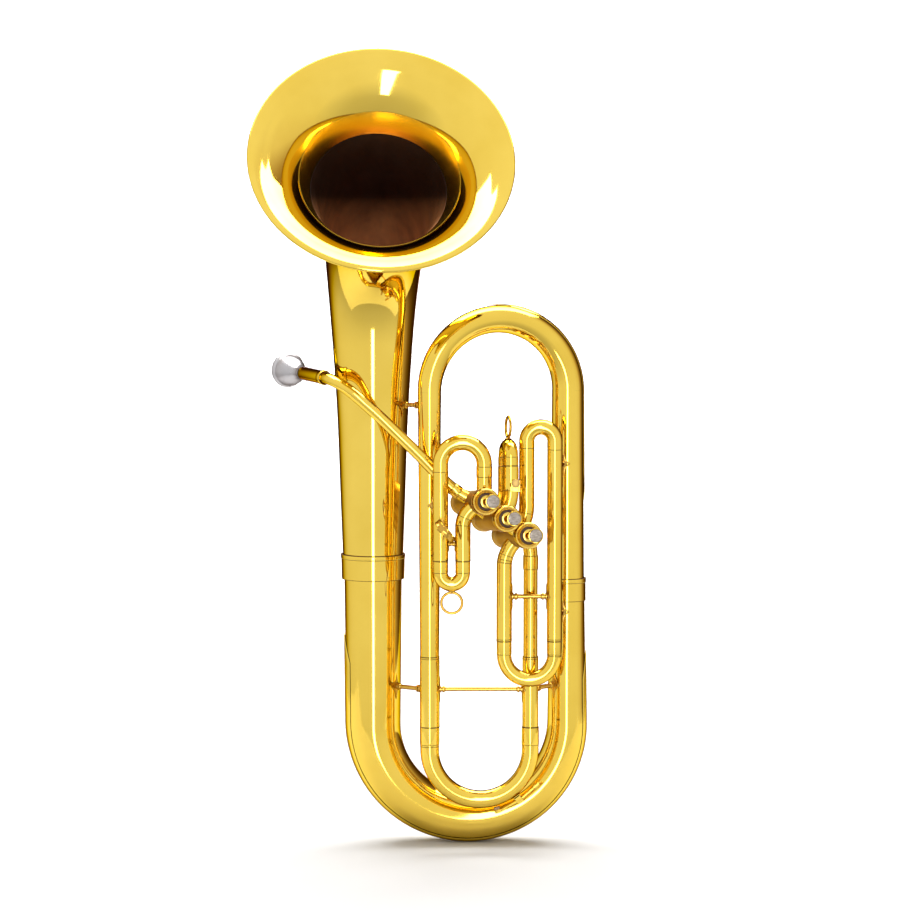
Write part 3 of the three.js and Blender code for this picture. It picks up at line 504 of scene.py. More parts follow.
BRASS, BELL, CAP, DULL = lacquered_brass(), bell_brass(), cap_brass(), dull_brass()
SILVER, NICKEL, STEEL, PEARL = silver_plate(), nickel_plate(), spring_steel(), button_pearl()
FELT, CORK, DARK_SEAM = dark_felt(), cork(), dark_seam()
SATIN, WORN, BORE_TARNISH_AND_SHADE, THROAT_AMBER = satin_brass(), worn_brass(), bore_tarnish_and_shade(), throat_amber()

# ---- Bell and bows ----

AIM = Vector((
    math.cos(BELL_PITCH) * math.sin(BELL_SWING),
    -math.cos(BELL_PITCH) * math.cos(BELL_SWING),
    math.sin(BELL_PITCH),
))
BELL_SIDE = Vector((math.cos(BELL_SWING), math.sin(BELL_SWING), 0))
# Distance back from the rim, and radius.
BELL_OUTLINE = [
    (7, 121.5), (12, 112), (27, 94), (60, 73.2), (110, 59.2), (190, 50.6), (270, 43.4), (350, 38.3),
    (440, 35),
]
BELL_END_R, BELL_RIM_R, BEAD_R = 32.3, 136.6, 2.2
# Where the throat's lining starts and the bore's lining starts, back from the rim.
THROAT_DEPTH, BORE_DEPTH = 39, 62


def thinned(radii, wall):
    return [(d, r - wall) for d, r in radii]


def make_bell():
    bend = Vector((STEM_X, 0, BELL_BEND_Z))
    flare = BELL_RIM - AIM * BELL_STRAIGHT
    route = Route(
        straight(Vector((STEM_X, 0, BELL_JOINT_Z)), bend),
        bezier(bend, bend + Z * 75, flare - AIM * 65, flare),
        straight(flare, BELL_RIM),
    )
    length = route.length
    keys = [Vector((length - d, r, 0)) for d, r in [*BELL_OUTLINE, (length, BELL_END_R)]]
    curve = catmull(keys, 16)
    curve.reverse()
    outside = [(max(p.x, 0), p.y) for p in curve]
    inside = []
    for i, p in enumerate(curve):
        slope = (curve[min(i + 1, len(curve) - 1)] - curve[max(i - 1, 0)]).normalized()
        inside.append((min(max(p.x + slope.y * BELL_WALL, 0), length), p.y - slope.x * BELL_WALL))
    # The rim is rolled back round a wire.
    bead_at, bead_centre = length - 3.1, BELL_RIM_R - BEAD_R
    turns = [math.radians(a) for a in range(-130, 101, 15)]
    bead = [(bead_at + BEAD_R * math.sin(a), bead_centre + BEAD_R * math.cos(a)) for a in turns]
    shape = bent(route, [*outside, *bead, (length - 1.4, 130), *reversed(inside)], BELL_SIDE, 160)
    piece("bell", shape, BELL)
    # The throat has lost its lacquer, and the bore past it has gone brown and dull; the bore's upper wall is
    # painted near black as shade.
    for name, near, far, material in (
        ("bell_throat", length - BORE_DEPTH, length - THROAT_DEPTH, THROAT_AMBER),
        ("bell_bore", 0, length - BORE_DEPTH, BORE_TARNISH_AND_SHADE),
    ):
        part = [(d, r) for d, r in inside if near <= d <= far]
        lining = thinned(part, 0.4) + thinned(reversed(part), 0.7)
        piece(name, bent(route, lining, BELL_SIDE, 120), material)


def ferrule(name, at, width, low_r, high_r, ribs):
    """A ring over the joint of two big tubes. Ribs are raised lines, [distance up the ring, width]."""
    foot = at - Z * (width / 2)
    route = Route(straight(foot, foot + Z * width))
    outer = [(0, low_r), (width, high_r)]
    ends = (0.3, width - 0.3)
    shape = tube(route, outer, thinned(outer, 1.1), up=X, bands=ribs, lines=ends, rise=0.45, sides=96)
    piece(name, shape, BRASS)


BOW_STRAIGHT = BELL_JOINT_Z - BOW_Z
BOW = Route(
    straight(Vector((STEM_X, 0, BELL_JOINT_Z - BUTT)), Vector((STEM_X, 0, BOW_Z))),
    arc(Vector((BOW_X, 0, BOW_Z)), X, Z, BOW_R, math.pi, 2 * math.pi),
    straight(Vector((RIGHT_X, 0, BOW_Z)), Vector((RIGHT_X, 0, BRANCH_JOINT_Z))),
)
BOW_RADII = [
    (0, 31.3),
    (BOW_STRAIGHT, 29.6),
    (BOW_STRAIGHT + math.pi * BOW_R / 2, 25.5),
    (BOW_STRAIGHT + math.pi * BOW_R, 21),
    (BOW.length, 19),
]
TOP_END = Vector((LEFT_X, MAIN_Y, TOP_BOW_Z))
TOP_START = Vector((RIGHT_X, 0, TOP_BOW_Z))
TOP_ACROSS = (TOP_START - TOP_END).normalized()
TOP_R = (TOP_START - TOP_END).length / 2
TOP_CENTRE = (TOP_START + TOP_END) / 2
TOP_NORMAL = TOP_ACROSS.cross(Z)
TOP_STEM = TOP_BOW_Z - BRANCH_JOINT_Z
TOP_STRAIGHT = straight(Vector((RIGHT_X, 0, BRANCH_JOINT_Z + BUTT)), TOP_START)
TOP_ARC = arc(TOP_CENTRE, TOP_ACROSS, Z, TOP_R, 0, math.pi)
TOP = Route(TOP_STRAIGHT, TOP_ARC)
TOP_RADII = [(0, 18.6), (TOP_STEM, 16.9), (TOP.length, 12.6)]


def guard(name, route, radii, up, start, end, half_angle):
    """A curved plate on the outside of a bow, with pointed ends and soft edges."""
    rows, columns, tip = 150, 12, 30
    skin_lifts, edge_lift = (0.55, 1.25), 0.45
    points, faces = [], []
    for lift in skin_lifts:
        for i in range(rows + 1):
            distance = start + (end - start) * i / rows
            near = min((distance - start) / tip, (end - distance) / tip, 1)
            spread = half_angle * max(near ** 0.7, 0.02)
            centre, across, over = route.frame(distance, up)
            for k in range(columns + 1):
                angle = spread * (2 * k / columns - 1)
                radius = between(radii, distance) + (edge_lift if k in (0, columns) else lift)
                out = across * math.cos(angle) + over * math.sin(angle)
                points.append(centre + out * radius)
    width = columns + 1
    count = width * (rows + 1)
    for i in range(rows):
        for k in range(columns):
            a = i * width + k
            faces.append((a, a + 1, a + width + 1, a + width))
            faces.append((count + a, count + a + width, count + a + width + 1, count + a + 1))
    rim = list(range(width))
    rim += [i * width + columns for i in range(1, rows + 1)]
    rim += [rows * width + k for k in range(columns - 1, -1, -1)]
    rim += [i * width for i in range(rows - 1, 0, -1)]
    faces += [(a, b, count + b, count + a) for a, b in zip(rim, rim[1:] + rim[:1])]
    piece(name, (points, faces), BRASS)


def make_bows():
    ferrule("bell_ferrule", Vector((STEM_X, 0, BELL_JOINT_Z)), 27, 34, 34.6, [(22.4, 4.2)])
    ferrule("branch_ferrule", Vector((RIGHT_X, 0, BRANCH_JOINT_Z)), 24.6, 20.4, 20.2, [(20, 4.3)])
    piece("bottom_bow", tube(BOW, BOW_RADII, thinned(BOW_RADII, 0.9), sides=112), BRASS)
    guard_start, guard_end = BELL_JOINT_Z - 229, BOW_STRAIGHT + math.pi * BOW_R + 78
    guard("bottom_bow_guard", BOW, BOW_RADII, Y, guard_start, guard_end, 0.62)
    stem, bow = Route(TOP_STRAIGHT), Route(TOP_ARC)
    left = Route(straight(TOP_END, Vector((LEFT_X, MAIN_Y, TUNING_JOINT_Z + BUTT))))
    for name, route, radii, up, sides in (
        ("right_branch_tube", stem, TOP_RADII[:2], X, 96),
        ("top_bow", bow, [(0, 16.9), (bow.length, 12.6)], TOP_NORMAL, 96),
        ("left_branch_tube", left, [(0, 12.6), (left.length, 10.3)], X, 80),
    ):
        piece(name, tube(route, radii, thinned(radii, 0.8), up=up, sides=sides), BRASS)
    guard("top_bow_guard", TOP, TOP_RADII, -TOP_NORMAL, 96, TOP_STEM + TOP_R * (math.pi / 2 + 0.12), 0.6)


make_bell()
make_bows()

# ---- Valves ----

FEET = [VALVE_FACE + ROW * (n * PITCH) - AXIS * VALVE_LENGTH for n in (-1, 0, 1)]


def on_axis(valve, t):
    return FEET[valve] + AXIS * t


def axis_at_y(valve, y):
    return on_axis(valve, (y - FEET[valve].y) / AXIS.y)


def onto_casing(p, valve, direction):
    """A point, slid out along a direction onto a valve's casing if it lies inside it."""
    radius = CASING_OUT - 0.15
    flat = direction - AXIS * direction.dot(AXIS)
    rel = p - FEET[valve]
    rel = rel - AXIS * rel.dot(AXIS)
    if rel.length >= radius:
        return p
    a, b, c = flat.dot(flat), rel.dot(flat), rel.dot(rel) - radius * radius
    return p + direction * ((-b + math.sqrt(b * b - a * c)) / a)


def seated(shape, valve, direction):
    """A tube's shape, with its end cut to the casing that it meets."""
    return [onto_casing(p, valve, direction) for p in shape[0]], shape[1]


def make_valve(n):
    label = n + 1
    foot, body = FEET[n], f"valve_{label}"
    band = CASING_OUT + 0.5
    casing = [
        (3, CASING_IN), (3, CASING_OUT), (11.5, CASING_OUT), (11.8, band), (14.6, band), (14.9, CASING_OUT),
        (99, CASING_OUT), (99.3, band), (102, band), (102.3, CASING_OUT), (113.4, CASING_OUT),
        (113.4, CASING_IN),
    ]
    bottom = [
        (0.9, 2.2), (0.5, 2.9), (0.5, 10.2), (0.0, 10.9), (0.0, 12.7), (0.35, 13.5), (1.1, 13.9), (2.2, 13.9),
        (2.6, 13.5), (3.2, 13.5), (3.6, 13.9), (8.6, 13.9), (9.6, 13.7), (10, 13.2), (10, 12.9), (2.7, 12.9),
        (2.7, 2.2),
    ]
    top = [
        (103, 13), (103, 13.7), (103.4, CAP_R), (106.6, CAP_R), (107, 13.8), (107.6, 13.8), (108, CAP_R),
        (115.2, CAP_R), (116.4, 13.9), (117, 13.2), (117, 10.2), (116.6, 9.6), (115.9, 9.3), (115.5, 9),
        (115.5, 6.9), (117.3, 6.7), (117.6, 6.3), (117.6, 3.6), (117.3, 3.3), (113.8, 3.3), (113.8, 13),
    ]
    felt = [(115.55, 6.95), (115.55, 9), (116.3, 9), (116.6, 8.7), (116.6, 7.2), (116.3, 6.95)]
    piece(f"valve_casing_{label}", turned(casing, foot, AXIS, 80), SATIN)
    piece(f"valve_bottom_cap_{label}", turned(bottom, foot, AXIS, 96), SATIN)
    piece(f"valve_top_cap_{label}", turned(top, foot, AXIS, 96), CAP)
    piece(f"valve_felt_{label}", turned(felt, foot, AXIS, 64), FELT)

    # The stem, the button and its pearl are measured from the button's underside.
    button = VALVE_LENGTH + BUTTON_RISE - 5
    head, seat = foot + AXIS * button, 113.3 - button
    stem = [
        (seat, 2.62), (seat, 2.95), (-BARREL, 2.95), (-BARREL, 4.6), (0.5 - BARREL, BARREL_R),
        (-6.4, BARREL_R), (-6, 4.9), (-5.4, 4.9), (-5, BARREL_R), (-1, BARREL_R), (-0.3, 4.6), (-0.3, 2.62),
    ]
    ring = [
        (-0.1, 2.9), (-0.1, 4.6), (0.6, 6), (1.9, 7.5), (2.5, BUTTON_R), (4.3, BUTTON_R), (4.9, 7.7),
        (5, 7.3), (4.6, 6.85), (2.9, 6.8), (2.9, 2.9),
    ]
    dome = [(4.4 + 0.85 * math.sin(a), PEARL_R * math.cos(a)) for a in (0, 0.3, 0.6, 0.9, 1.2, 1.4)]
    disc = [(3.2, 0), (3.2, PEARL_R), *dome, (5.28, 0)]
    piece(f"valve_stem_{label}", turned(stem, head, AXIS, 48), CAP, body)
    piece(f"finger_button_{label}", turned(ring, head, AXIS, 72), CAP, body)
    piece(f"button_pearl_{label}", turned(disc, head, AXIS, 64), PEARL, body)
    clothe(f"valve_piston_{label}", NICKEL)
    clothe(f"valve_spring_{label}", STEEL)


def clothe(node, material):
    """Gives a CAD node that stays its material."""
    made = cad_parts[node]
    made.data.materials.clear()
    made.data.materials.append(material)


for number in range(3):
    make_valve(number)


def make_knuckle(name, left, t):
    a, b = on_axis(left, t), on_axis(left + 1, t)
    route = Route(straight(a.lerp(b, 0.3), a.lerp(b, 0.7)))
    middle = (a + b) / 2
    points, faces = tube(route, 8.05, 6.7, up=AXIS)
    for i, p in enumerate(points):
        near_left = (p - middle).dot(ROW) < 0
        points[i] = onto_casing(p, left, ROW) if near_left else onto_casing(p, left + 1, -ROW)
    piece(name, (points, faces), BRASS)


make_knuckle("knuckle_1_2", 0, 52)
make_knuckle("knuckle_2_3", 1, 92)

# ---- Main tuning slide ----


def make_tuning():
    at = lambda x, z: Vector((x, MAIN_Y, z))
    for side, x, size in (("left", LEFT_X, TUNING_LEFT), ("right", LEG_X, TUNING_RIGHT)):
        route = Route(straight(at(x, TUNING_JOINT_Z), at(x, SLEEVE_END_Z)))
        lines = (0.4, 2.2, route.length - 0.4)
        shape = tube(route, size["out"] - 0.1, size["in"], up=X, lines=lines)
        piece(f"tuning_sleeve_{side}", shape, BRASS)
    start = axis_at_y(2, MAIN_Y) + Vector((4.5, 0, -1.5))
    end = at(LEG_X, TUNING_LEG["straight"])
    control = at(LEG_X, TUNING_LEG["bend"])
    route = Route(bezier(start, control, end), straight(end, at(LEG_X, TUNING_JOINT_Z + BUTT)))
    bend = route.spans[0][2]
    shape = tube(route, LEG_OUT + 0.3, BORE, bands=[(bend + 1, 14.2)], rise=0.6)
    piece("tuning_leg", seated(shape, 2, (control - start).normalized()), BRASS)

    crook = Route(
        straight(at(LEFT_X, SLEEVE_END_Z - BUTT), at(LEFT_X, CROOK_Z)),
        arc(at(CROOK_X, CROOK_Z), X, Z, CROOK_R, math.pi, 2 * math.pi),
        straight(at(LEG_X, CROOK_Z), at(LEG_X, SLEEVE_END_Z - BUTT)),
    )
    length, body = crook.length, "main_tuning_slide"
    outer = [(0, 10.3), (length, 8.9)]
    bore = [(0, TUNING_LEFT["bore"]), (length, TUNING_RIGHT["bore"])]
    bands = [(0.2, 18.6), (length - 18.8, 18.6)]
    shapes = [tube(crook, outer, bore, bands=bands, lines=[20.8], sides=64, body=body)]
    for x, size in ((LEFT_X, TUNING_LEFT), (LEG_X, TUNING_RIGHT)):
        leg = Route(straight(at(x, TUNING_JOINT_Z - 5), at(x, SLEEVE_END_Z - 3)))
        shapes.append(tube(leg, size["leg"], size["bore"] - 0.05, up=X))
    piece("tuning_slide", together(*shapes), BRASS, body)


def on_crook(degrees, radius):
    a = math.radians(degrees)
    return Vector((CROOK_X + radius * math.cos(a), MAIN_Y, CROOK_Z + radius * math.sin(a)))


def rod(a, b, radius, end=None, sides=28, soft=0.4):
    """A solid round bar with softened ends."""
    end = radius if end is None else end
    axis = (b - a).normalized()
    length = (b - a).length
    outline = [(0, 0), (0, radius - soft), (soft, radius)]
    outline += [(length - soft, end), (length, end - soft), (length, 0)]
    return turned(outline, a, axis, sides)


def block(centre, axes, size, chamfer=0.3):
    """A box with chamfered edges, from its centre, unit axes and side lengths."""
    points, faces, index = [], [], {}
    for signs in itertools.product((-1, 1), repeat=3):
        for flat in range(3):
            at = centre.copy()
            for k in range(3):
                at += axes[k] * (signs[k] * (size[k] / 2 - (0 if k == flat else chamfer)))
            index[signs, flat] = len(points)
            points.append(at)
        faces.append(tuple(index[signs, flat] for flat in range(3)))

    for a in range(3):
        u, v = (k for k in range(3) if k != a)

        def signed(sign_a, sign_u, sign_v):
            signs = {a: sign_a, u: sign_u, v: sign_v}
            return signs[0], signs[1], signs[2]

        for s in (-1, 1):
            loop = (signed(s, *turn) for turn in ((-1, -1), (1, -1), (1, 1), (-1, 1)))
            faces.append(tuple(index[signs, a] for signs in loop))
        for edge in itertools.product((-1, 1), repeat=2):
            low, high = signed(-1, *edge), signed(1, *edge)
            faces.append((index[low, u], index[high, u], index[high, v], index[low, v]))
    return points, faces


# Places round the tuning crook, in degrees.
KEY_PIVOT, KEY_PAD, KEY_ARM_END = -52, -74, -33


def make_water_key():
    skin = CROOK_R + 10.1
    angle = math.radians(KEY_PIVOT)
    out = Vector((math.cos(angle), 0, math.sin(angle)))
    along = Vector((-out.z, 0, out.x))
    pivot = on_crook(KEY_PIVOT, skin + 5.4)
    axes = (Y, along, out)
    shapes = [block(pivot + Y * s - out * 2, axes, (1.4, 7, 9)) for s in (-4.2, 4.2)]
    shapes.append(block(pivot - out * 5.2, axes, (9.8, 9, 1.8)))
    shapes.append(rod(pivot - Y * 5.6, pivot + Y * 5.6, 0.95, sides=20, soft=0.2))
    piece("water_key_saddle", together(*shapes), BRASS, "main_tuning_slide")
    arm = [
        rod(on_crook(KEY_PAD, skin + 6.4), pivot, 1.7, 2.1, soft=0.3),
        rod(pivot, on_crook(KEY_ARM_END, skin + 8), 2.1, 1.8, soft=0.3),
        rod(pivot - Y * 3.1, pivot + Y * 3.1, 2.9, soft=0.3),
        rod(on_crook(KEY_PAD, skin + 3.4), on_crook(KEY_PAD, skin + 7.2), 3.6, 3.3),
        rod(on_crook(KEY_ARM_END - 3, skin + 6.8), on_crook(KEY_ARM_END + 3, skin + 9.4), 3.3, 2.7, soft=0.9),
    ]
    piece("water_key", together(*arm), BRASS, "water_key_lever")
    pad = rod(on_crook(KEY_PAD, skin + 0.6), on_crook(KEY_PAD, skin + 3.4), 3.0, 3.1)
    piece("water_key_cork", pad, CORK, "water_key_lever")


make_tuning()
make_water_key()

# ---- Valve slides ----


def sleeve(name, route, valve, direction, lines, step=1.6, **options):
    """A slide's fixed outer tube, from its valve's casing. A dark line goes round its open end."""
    shape = tube(route, SLEEVE_OUT - 0.1, SLEEVE_IN, lines=[*lines, route.length - 0.5], step=step, **options)
    piece(name, seated(shape, valve, direction), BRASS)


def slide_crook(centre, side, out, radius, depth_left, depth_right, band, body, lines=()):
    """A slide's moving crook: two inner legs, a ferrule on each and the bend."""
    corner = lambda sign, depth: centre + side * (sign * radius) - out * depth
    route = Route(
        straight(corner(1, band), corner(1, 0)),
        arc(centre, side, out, radius, 0, math.pi),
        straight(corner(-1, 0), corner(-1, band)),
    )
    bands = [(0.2, band - 0.8), (route.length - band + 0.6, band - 0.8)]
    up = side.cross(out)
    shapes = [tube(route, CROOK_OUT, BORE, up=up, bands=bands, lines=lines, rise=0.3, step=1.6, body=body)]
    for sign, depth in ((1, depth_right), (-1, depth_left)):
        leg = Route(straight(corner(sign, depth + band), corner(sign, band - 3)))
        shapes.append(tube(leg, LEG_OUT, BORE - 0.05, up=side))
    return shapes


def pull_ring(crook_end, side, out):
    """A wire ring with a small turned foot that joins it to its crook."""
    stub = [(0, 0), (0, 3.8), (1.1, 3.5), (1.7, 2.3), (2.4, 1.9), (2.8, 1.6), (2.8, 0)]
    ring = torus(crook_end + out * (RING_RISE + RING_R), side, out, RING_R, RING_WIRE)
    return [ring, turned(stub, crook_end - out * 1.2, out, 32)]


def make_first_slide():
    left, right, top = FIRST["left"], FIRST["right"], FIRST["top"]
    arch_z, sleeve_z, crook_z = FIRST["arch"], FIRST["sleeve"], FIRST["crook"]
    at = lambda x, z: Vector((x, FIRST_Y, z))
    origin = axis_at_y(0, FIRST_Y)
    arch_r = (top - left) / 2
    foot = at(top, origin.z + 4)
    route = Route(
        straight(foot, at(top, arch_z)),
        arc(at((top + left) / 2, arch_z), X, Z, arch_r, 0, math.pi),
        straight(at(left, arch_z), at(left, sleeve_z)),
    )
    rise = arch_z - foot.z
    over = rise + math.pi * arch_r
    sleeve("first_slide_arch", route, 0, Z, [over + 8], step=2, bands=[(rise - 13.2, 10.6)], rise=0.25)

    start = origin + Vector((-4, 0, -4))
    control, end = at(right, FIRST_ELBOW["bend"]), at(right, FIRST_ELBOW["straight"])
    route = Route(bezier(start, control, end), straight(end, at(right, sleeve_z)))
    bend = route.spans[0][2]
    sleeve("first_slide_elbow", route, 0, (control - start).normalized(), [bend * 0.62, bend - 2])

    centre = at((left + right) / 2, crook_z)
    radius = (right - left) / 2
    shapes = slide_crook(centre, X, -Z, radius, 60, 30, sleeve_z - BUTT - crook_z, "first_valve_slide")
    ring = pull_ring(at(centre.x, crook_z - radius - CROOK_OUT), X, -Z)
    piece("first_slide_ring", together(*ring), WORN, "first_valve_slide")
    piece("first_slide", together(*shapes), BRASS, "first_valve_slide")


def make_second_slide():
    up = Vector((0, AXIS.z, -AXIS.y)).normalized()
    origin = axis_at_y(1, SECOND["y"])
    foot, spread = Vector((SECOND["x"], origin.y, origin.z)), SECOND["spread"]
    at = lambda sign, z: foot + up * ((z - origin.z) / up.z) + AXIS * (sign * spread)
    for sign, side in ((-1, "back"), (1, "front")):
        inside = origin + AXIS * (sign * spread)
        bend, low, high = (at(sign, SECOND[key]) for key in ("bend", "straight", "sleeve"))
        towards = (bend - inside).normalized()
        route = Route(bezier(inside + towards * 5, bend, low), straight(low, high))
        sleeve(f"second_slide_sleeve_{side}", route, 1, towards, [route.spans[0][2] + 1], up=AXIS)
    centre = at(0, SECOND["crook"])
    depth = SECOND["crook"] - SECOND["sleeve"] - BUTT
    shapes = slide_crook(centre, AXIS, up, spread, 24, 24, depth, "second_valve_slide")
    ring = pull_ring(centre + up * (spread + CROOK_OUT), AXIS, up)
    piece("second_slide_ring", together(*ring), WORN, "second_valve_slide")
    piece("second_slide", together(*shapes), BRASS, "second_valve_slide")


def make_third_slide():
    left, right, top = THIRD["left"], THIRD["right"], THIRD["top"]
    arch_z, sleeve_z, crook_z = THIRD["arch"], THIRD["sleeve"], THIRD["crook"]
    at = lambda x, z: Vector((x, THIRD_Y, z))
    origin = axis_at_y(2, THIRD_Y)
    start = origin + Vector((1, 0, 5))
    control, end = at(top, THIRD_ARCH["bend"]), at(top, THIRD_ARCH["straight"])
    arch_r = (right - top) / 2
    route = Route(
        bezier(start, control, end),
        straight(end, at(top, arch_z)),
        arc(at((top + right) / 2, arch_z), X, Z, arch_r, math.pi, 0),
        straight(at(right, arch_z), at(right, sleeve_z)),
    )
    bend = route.spans[0][2]
    rise = bend + arch_z - end.z
    over = rise + math.pi * arch_r
    lines = [bend * 0.7, rise - 7.2, over + 9.1, route.length - 2]
    sleeve("third_slide_arch", route, 2, (control - start).normalized(), lines, step=2)

    start = origin + Vector((-3, 0, -5))
    control, end = at(left, THIRD_ELBOW["bend"]), at(left, THIRD_ELBOW["straight"])
    route = Route(bezier(start, control, end), straight(end, at(left, sleeve_z)))
    bend = route.spans[0][2]
    lines = [bend * 0.6, bend - 7.5, bend - 4.5, route.length - 2]
    sleeve("third_slide_elbow", route, 2, (control - start).normalized(), lines)

    centre, radius = at((left + right) / 2, crook_z), (right - left) / 2
    band, body = sleeve_z - BUTT - crook_z, "third_valve_slide"
    shapes = slide_crook(centre, X, -Z, radius, 76, 76, band, body, lines=[band + 1.2])
    piece("third_slide", together(*shapes), BRASS, body)


make_first_slide()
make_second_slide()
make_third_slide()

# ---- Leadpipe, receiver and mouthpiece ----

RECEIVER_END = RECEIVER_START + MOUTH_AXIS * RECEIVER_LENGTH


def make_leadpipe():
    origin = axis_at_y(0, LEAD_Y)
    line = catmull([
        origin + Vector((-5, 0, 2)),
        Vector((-15.3, LEAD_Y, 389.5)),
        Vector((-58, LEAD_Y, 431.5)),
        Vector((-101.2, LEAD_Y, 473)),
        Vector((-131, LEAD_Y + 3, 498)),
        RECEIVER_START - MOUTH_AXIS * 12 + Vector((2, -2, -1)),
        RECEIVER_START,
        RECEIVER_START + MOUTH_AXIS * 9,
    ])
    route = Route(("bend", line))
    length = route.length
    outer = [(0, 6.6), (30, 6.4), (length, 6.1)]
    shape = tube(route, outer, [(0, 5.9), (length, 5.4)], up=Z, bands=[(15, 9)], rise=0.7)
    direction = Vector((-10, 0, 7.5)).normalized()
    piece("leadpipe", seated(shape, 0, direction), BRASS)

    end = RECEIVER_LENGTH
    outline = [
        (0, 6.5), (0, 7.3), (0.5, 7.8), (1.2, 7.95), (6.6, 7.95), (7.4, 7.7), (8, 7.2), (end - 0.6, 7.55),
        (end - 0.1, 7.45), (end, 7.3), (end, 7.15), (14, 6.5),
    ]
    piece("mouthpiece_receiver", turned(outline, RECEIVER_START, MOUTH_AXIS), BRASS)
    receiver = Route(straight(RECEIVER_START, RECEIVER_END))
    for place in (0.1, 8):
        joint_line("horn_body", receiver, place, 7.3, Z)


def make_mouthpiece():
    """Distances are measured from the top of the rim, so they are below zero."""
    shank, rim = -MOUTHPIECE_LENGTH, MOUTHPIECE_RIM
    keys = [
        (-42, 6.9), (-37, 7.0), (-32, 8.0), (-27, 10.6), (-21, 13.8), (-14, 15.9), (-9, 16.7), (-7, 17),
    ]
    cup = [(p.x, p.y) for p in catmull([Vector((d, r, 0)) for d, r in keys], 6)]
    outline = [
        (shank, 4.6), (shank, 5.1), (-48, 6.75), (-47, 7.1), (-45.5, 7.1), (-44.5, 6.8), *cup, (-6.2, 17.6),
        (-5.6, 18.7), (-4.4, rim), (-2.4, rim), (-1.2, rim - 0.5), (-0.3, rim - 1.6), (0, rim - 3),
        (-0.3, rim - 4.6), (-1.5, rim - 6), (-5, rim - 6.8), (-10, 11.9), (-16, 10.2), (-21, 7.2),
        (-24.5, 3.8), (-27, 3.2), (-34, 3.2),
    ]
    top = RECEIVER_END + MOUTH_AXIS * MOUTHPIECE_OUT
    shape = turned(outline, top, MOUTH_AXIS, 96)
    piece("mouthpiece", shape, SILVER, "mouthpiece_body", sharp=50)


make_leadpipe()
make_mouthpiece()

# ---- Braces, thumb ring and lyre holder ----


def diamond(centre, radius, towards, half_width, half_height):
    """A diamond-shaped plate wrapped on an upright tube, facing a direction."""
    out = Vector((towards.x, towards.y, 0)).normalized()
    side = Z.cross(out)
    rings, per_side = 5, 6
    corners = [(1, 0), (0, 1), (-1, 0), (0, -1)]
    edge = []
    for (u0, v0), (u1, v1) in zip(corners, corners[1:] + corners[:1]):
        for i in range(per_side):
            t = i / per_side
            bow = 1 - 0.32 * math.sin(math.pi * t)
            edge.append(((u0 + (u1 - u0) * t) * bow, (v0 + (v1 - v0) * t) * bow))
    count = len(edge)
    points, faces = [], []
    for lift in (0.05, 1.0):
        first = len(points)
        for ring in range(1, rings + 1):
            drop = 0.35 if ring == rings and lift > 0.5 else 0
            for u, v in edge:
                angle = u * ring / rings * half_width / radius
                r = radius + lift - drop
                flat = out * (r * math.cos(angle)) + side * (r * math.sin(angle))
                points.append(centre + flat + Z * (v * ring / rings * half_height))
        points.append(centre + out * (radius + lift))
        hub = len(points) - 1
        for ring in range(rings - 1):
            for k in range(count):
                n = (k + 1) % count
                a = first + ring * count
                faces.append((a + k, a + n, a + count + n, a + count + k))
        faces += [(hub, first + (k + 1) % count, first + k) for k in range(count)]
    low = (rings - 1) * count
    high = low + rings * count + 1
    faces += [(low + k, low + (k + 1) % count, high + (k + 1) % count, high + k) for k in range(count)]
    return points, faces


def brace(name, a, b, radius_a, radius_b, rod_r=2.4, plates=(8, 14)):
    """A turned rod with collars, between diamond plates on two upright tubes."""
    along = (b - a).normalized()
    start, end = radius_a + 0.2, (b - a).length - radius_b - 0.2
    length = end - start
    collar = [(0, 4.2), (1.1, 4.2), (1.6, 3.0), (3.0, 2.9), (3.4, 3.9), (5.0, 3.9), (5.4, 3.0), (6.4, 2.7)]
    collar = [(d * min(1, length / 18), r * rod_r / 2.4) for d, r in collar]
    middle = [(collar[-1][0] + 0.3, rod_r), (length - collar[-1][0] - 0.3, rod_r)]
    outline = [(0, 0), *collar, *middle, *[(length - d, r) for d, r in reversed(collar)], (length, 0)]
    shapes = [turned(outline, a + along * start, along, 32)]
    shapes.append(diamond(a, radius_a, b - a, *plates))
    shapes.append(diamond(b, radius_b, a - b, *plates))
    piece(name, together(*shapes), WORN)


def make_braces():
    """Each brace: its height, the tubes at its ends, their radii there, its rod's radius and its plates."""
    stem, branch = Vector((STEM_X, 0, 0)), Vector((RIGHT_X, 0, 0))
    left, leg = Vector((LEFT_X, MAIN_Y, 0)), Vector((LEG_X, MAIN_Y, 0))
    first, first_short = Vector((FIRST["left"], FIRST_Y, 0)), Vector((FIRST["right"], FIRST_Y, 0))
    third, third_long = Vector((THIRD["left"], THIRD_Y, 0)), Vector((THIRD["right"], THIRD_Y, 0))
    for name, height, a, b, radius_a, radius_b, *rest in (
        ("bell_brace", 478, stem, left, 39.0, 12.5),
        ("bow_brace_left", 173, stem, left, 30.0, 10.5),
        ("tuning_brace", 173.5, left, leg, 10.5, 8.4, 2.1),
        ("bow_brace_right", 174, leg, branch, 8.4, 20.3),
        ("third_slide_brace", 276, third, third_long, 8.1, 8.1),
        ("branch_brace_upper", 414, third_long, branch, 8.1, 17.5, 2.2, (7, 13)),
        ("branch_brace_lower", 254, third_long, branch, 8.1, 19.3, 2.2, (7, 13)),
        ("first_slide_brace", 334, first, first_short, 8.1, 8.1, 2.0, (4, 8)),
        ("first_branch_brace", 372, first, left, 8.1, 11.6, 2.2, (6, 11)),
    ):
        brace(name, a + Z * height, b + Z * height, radius_a, radius_b, *rest)


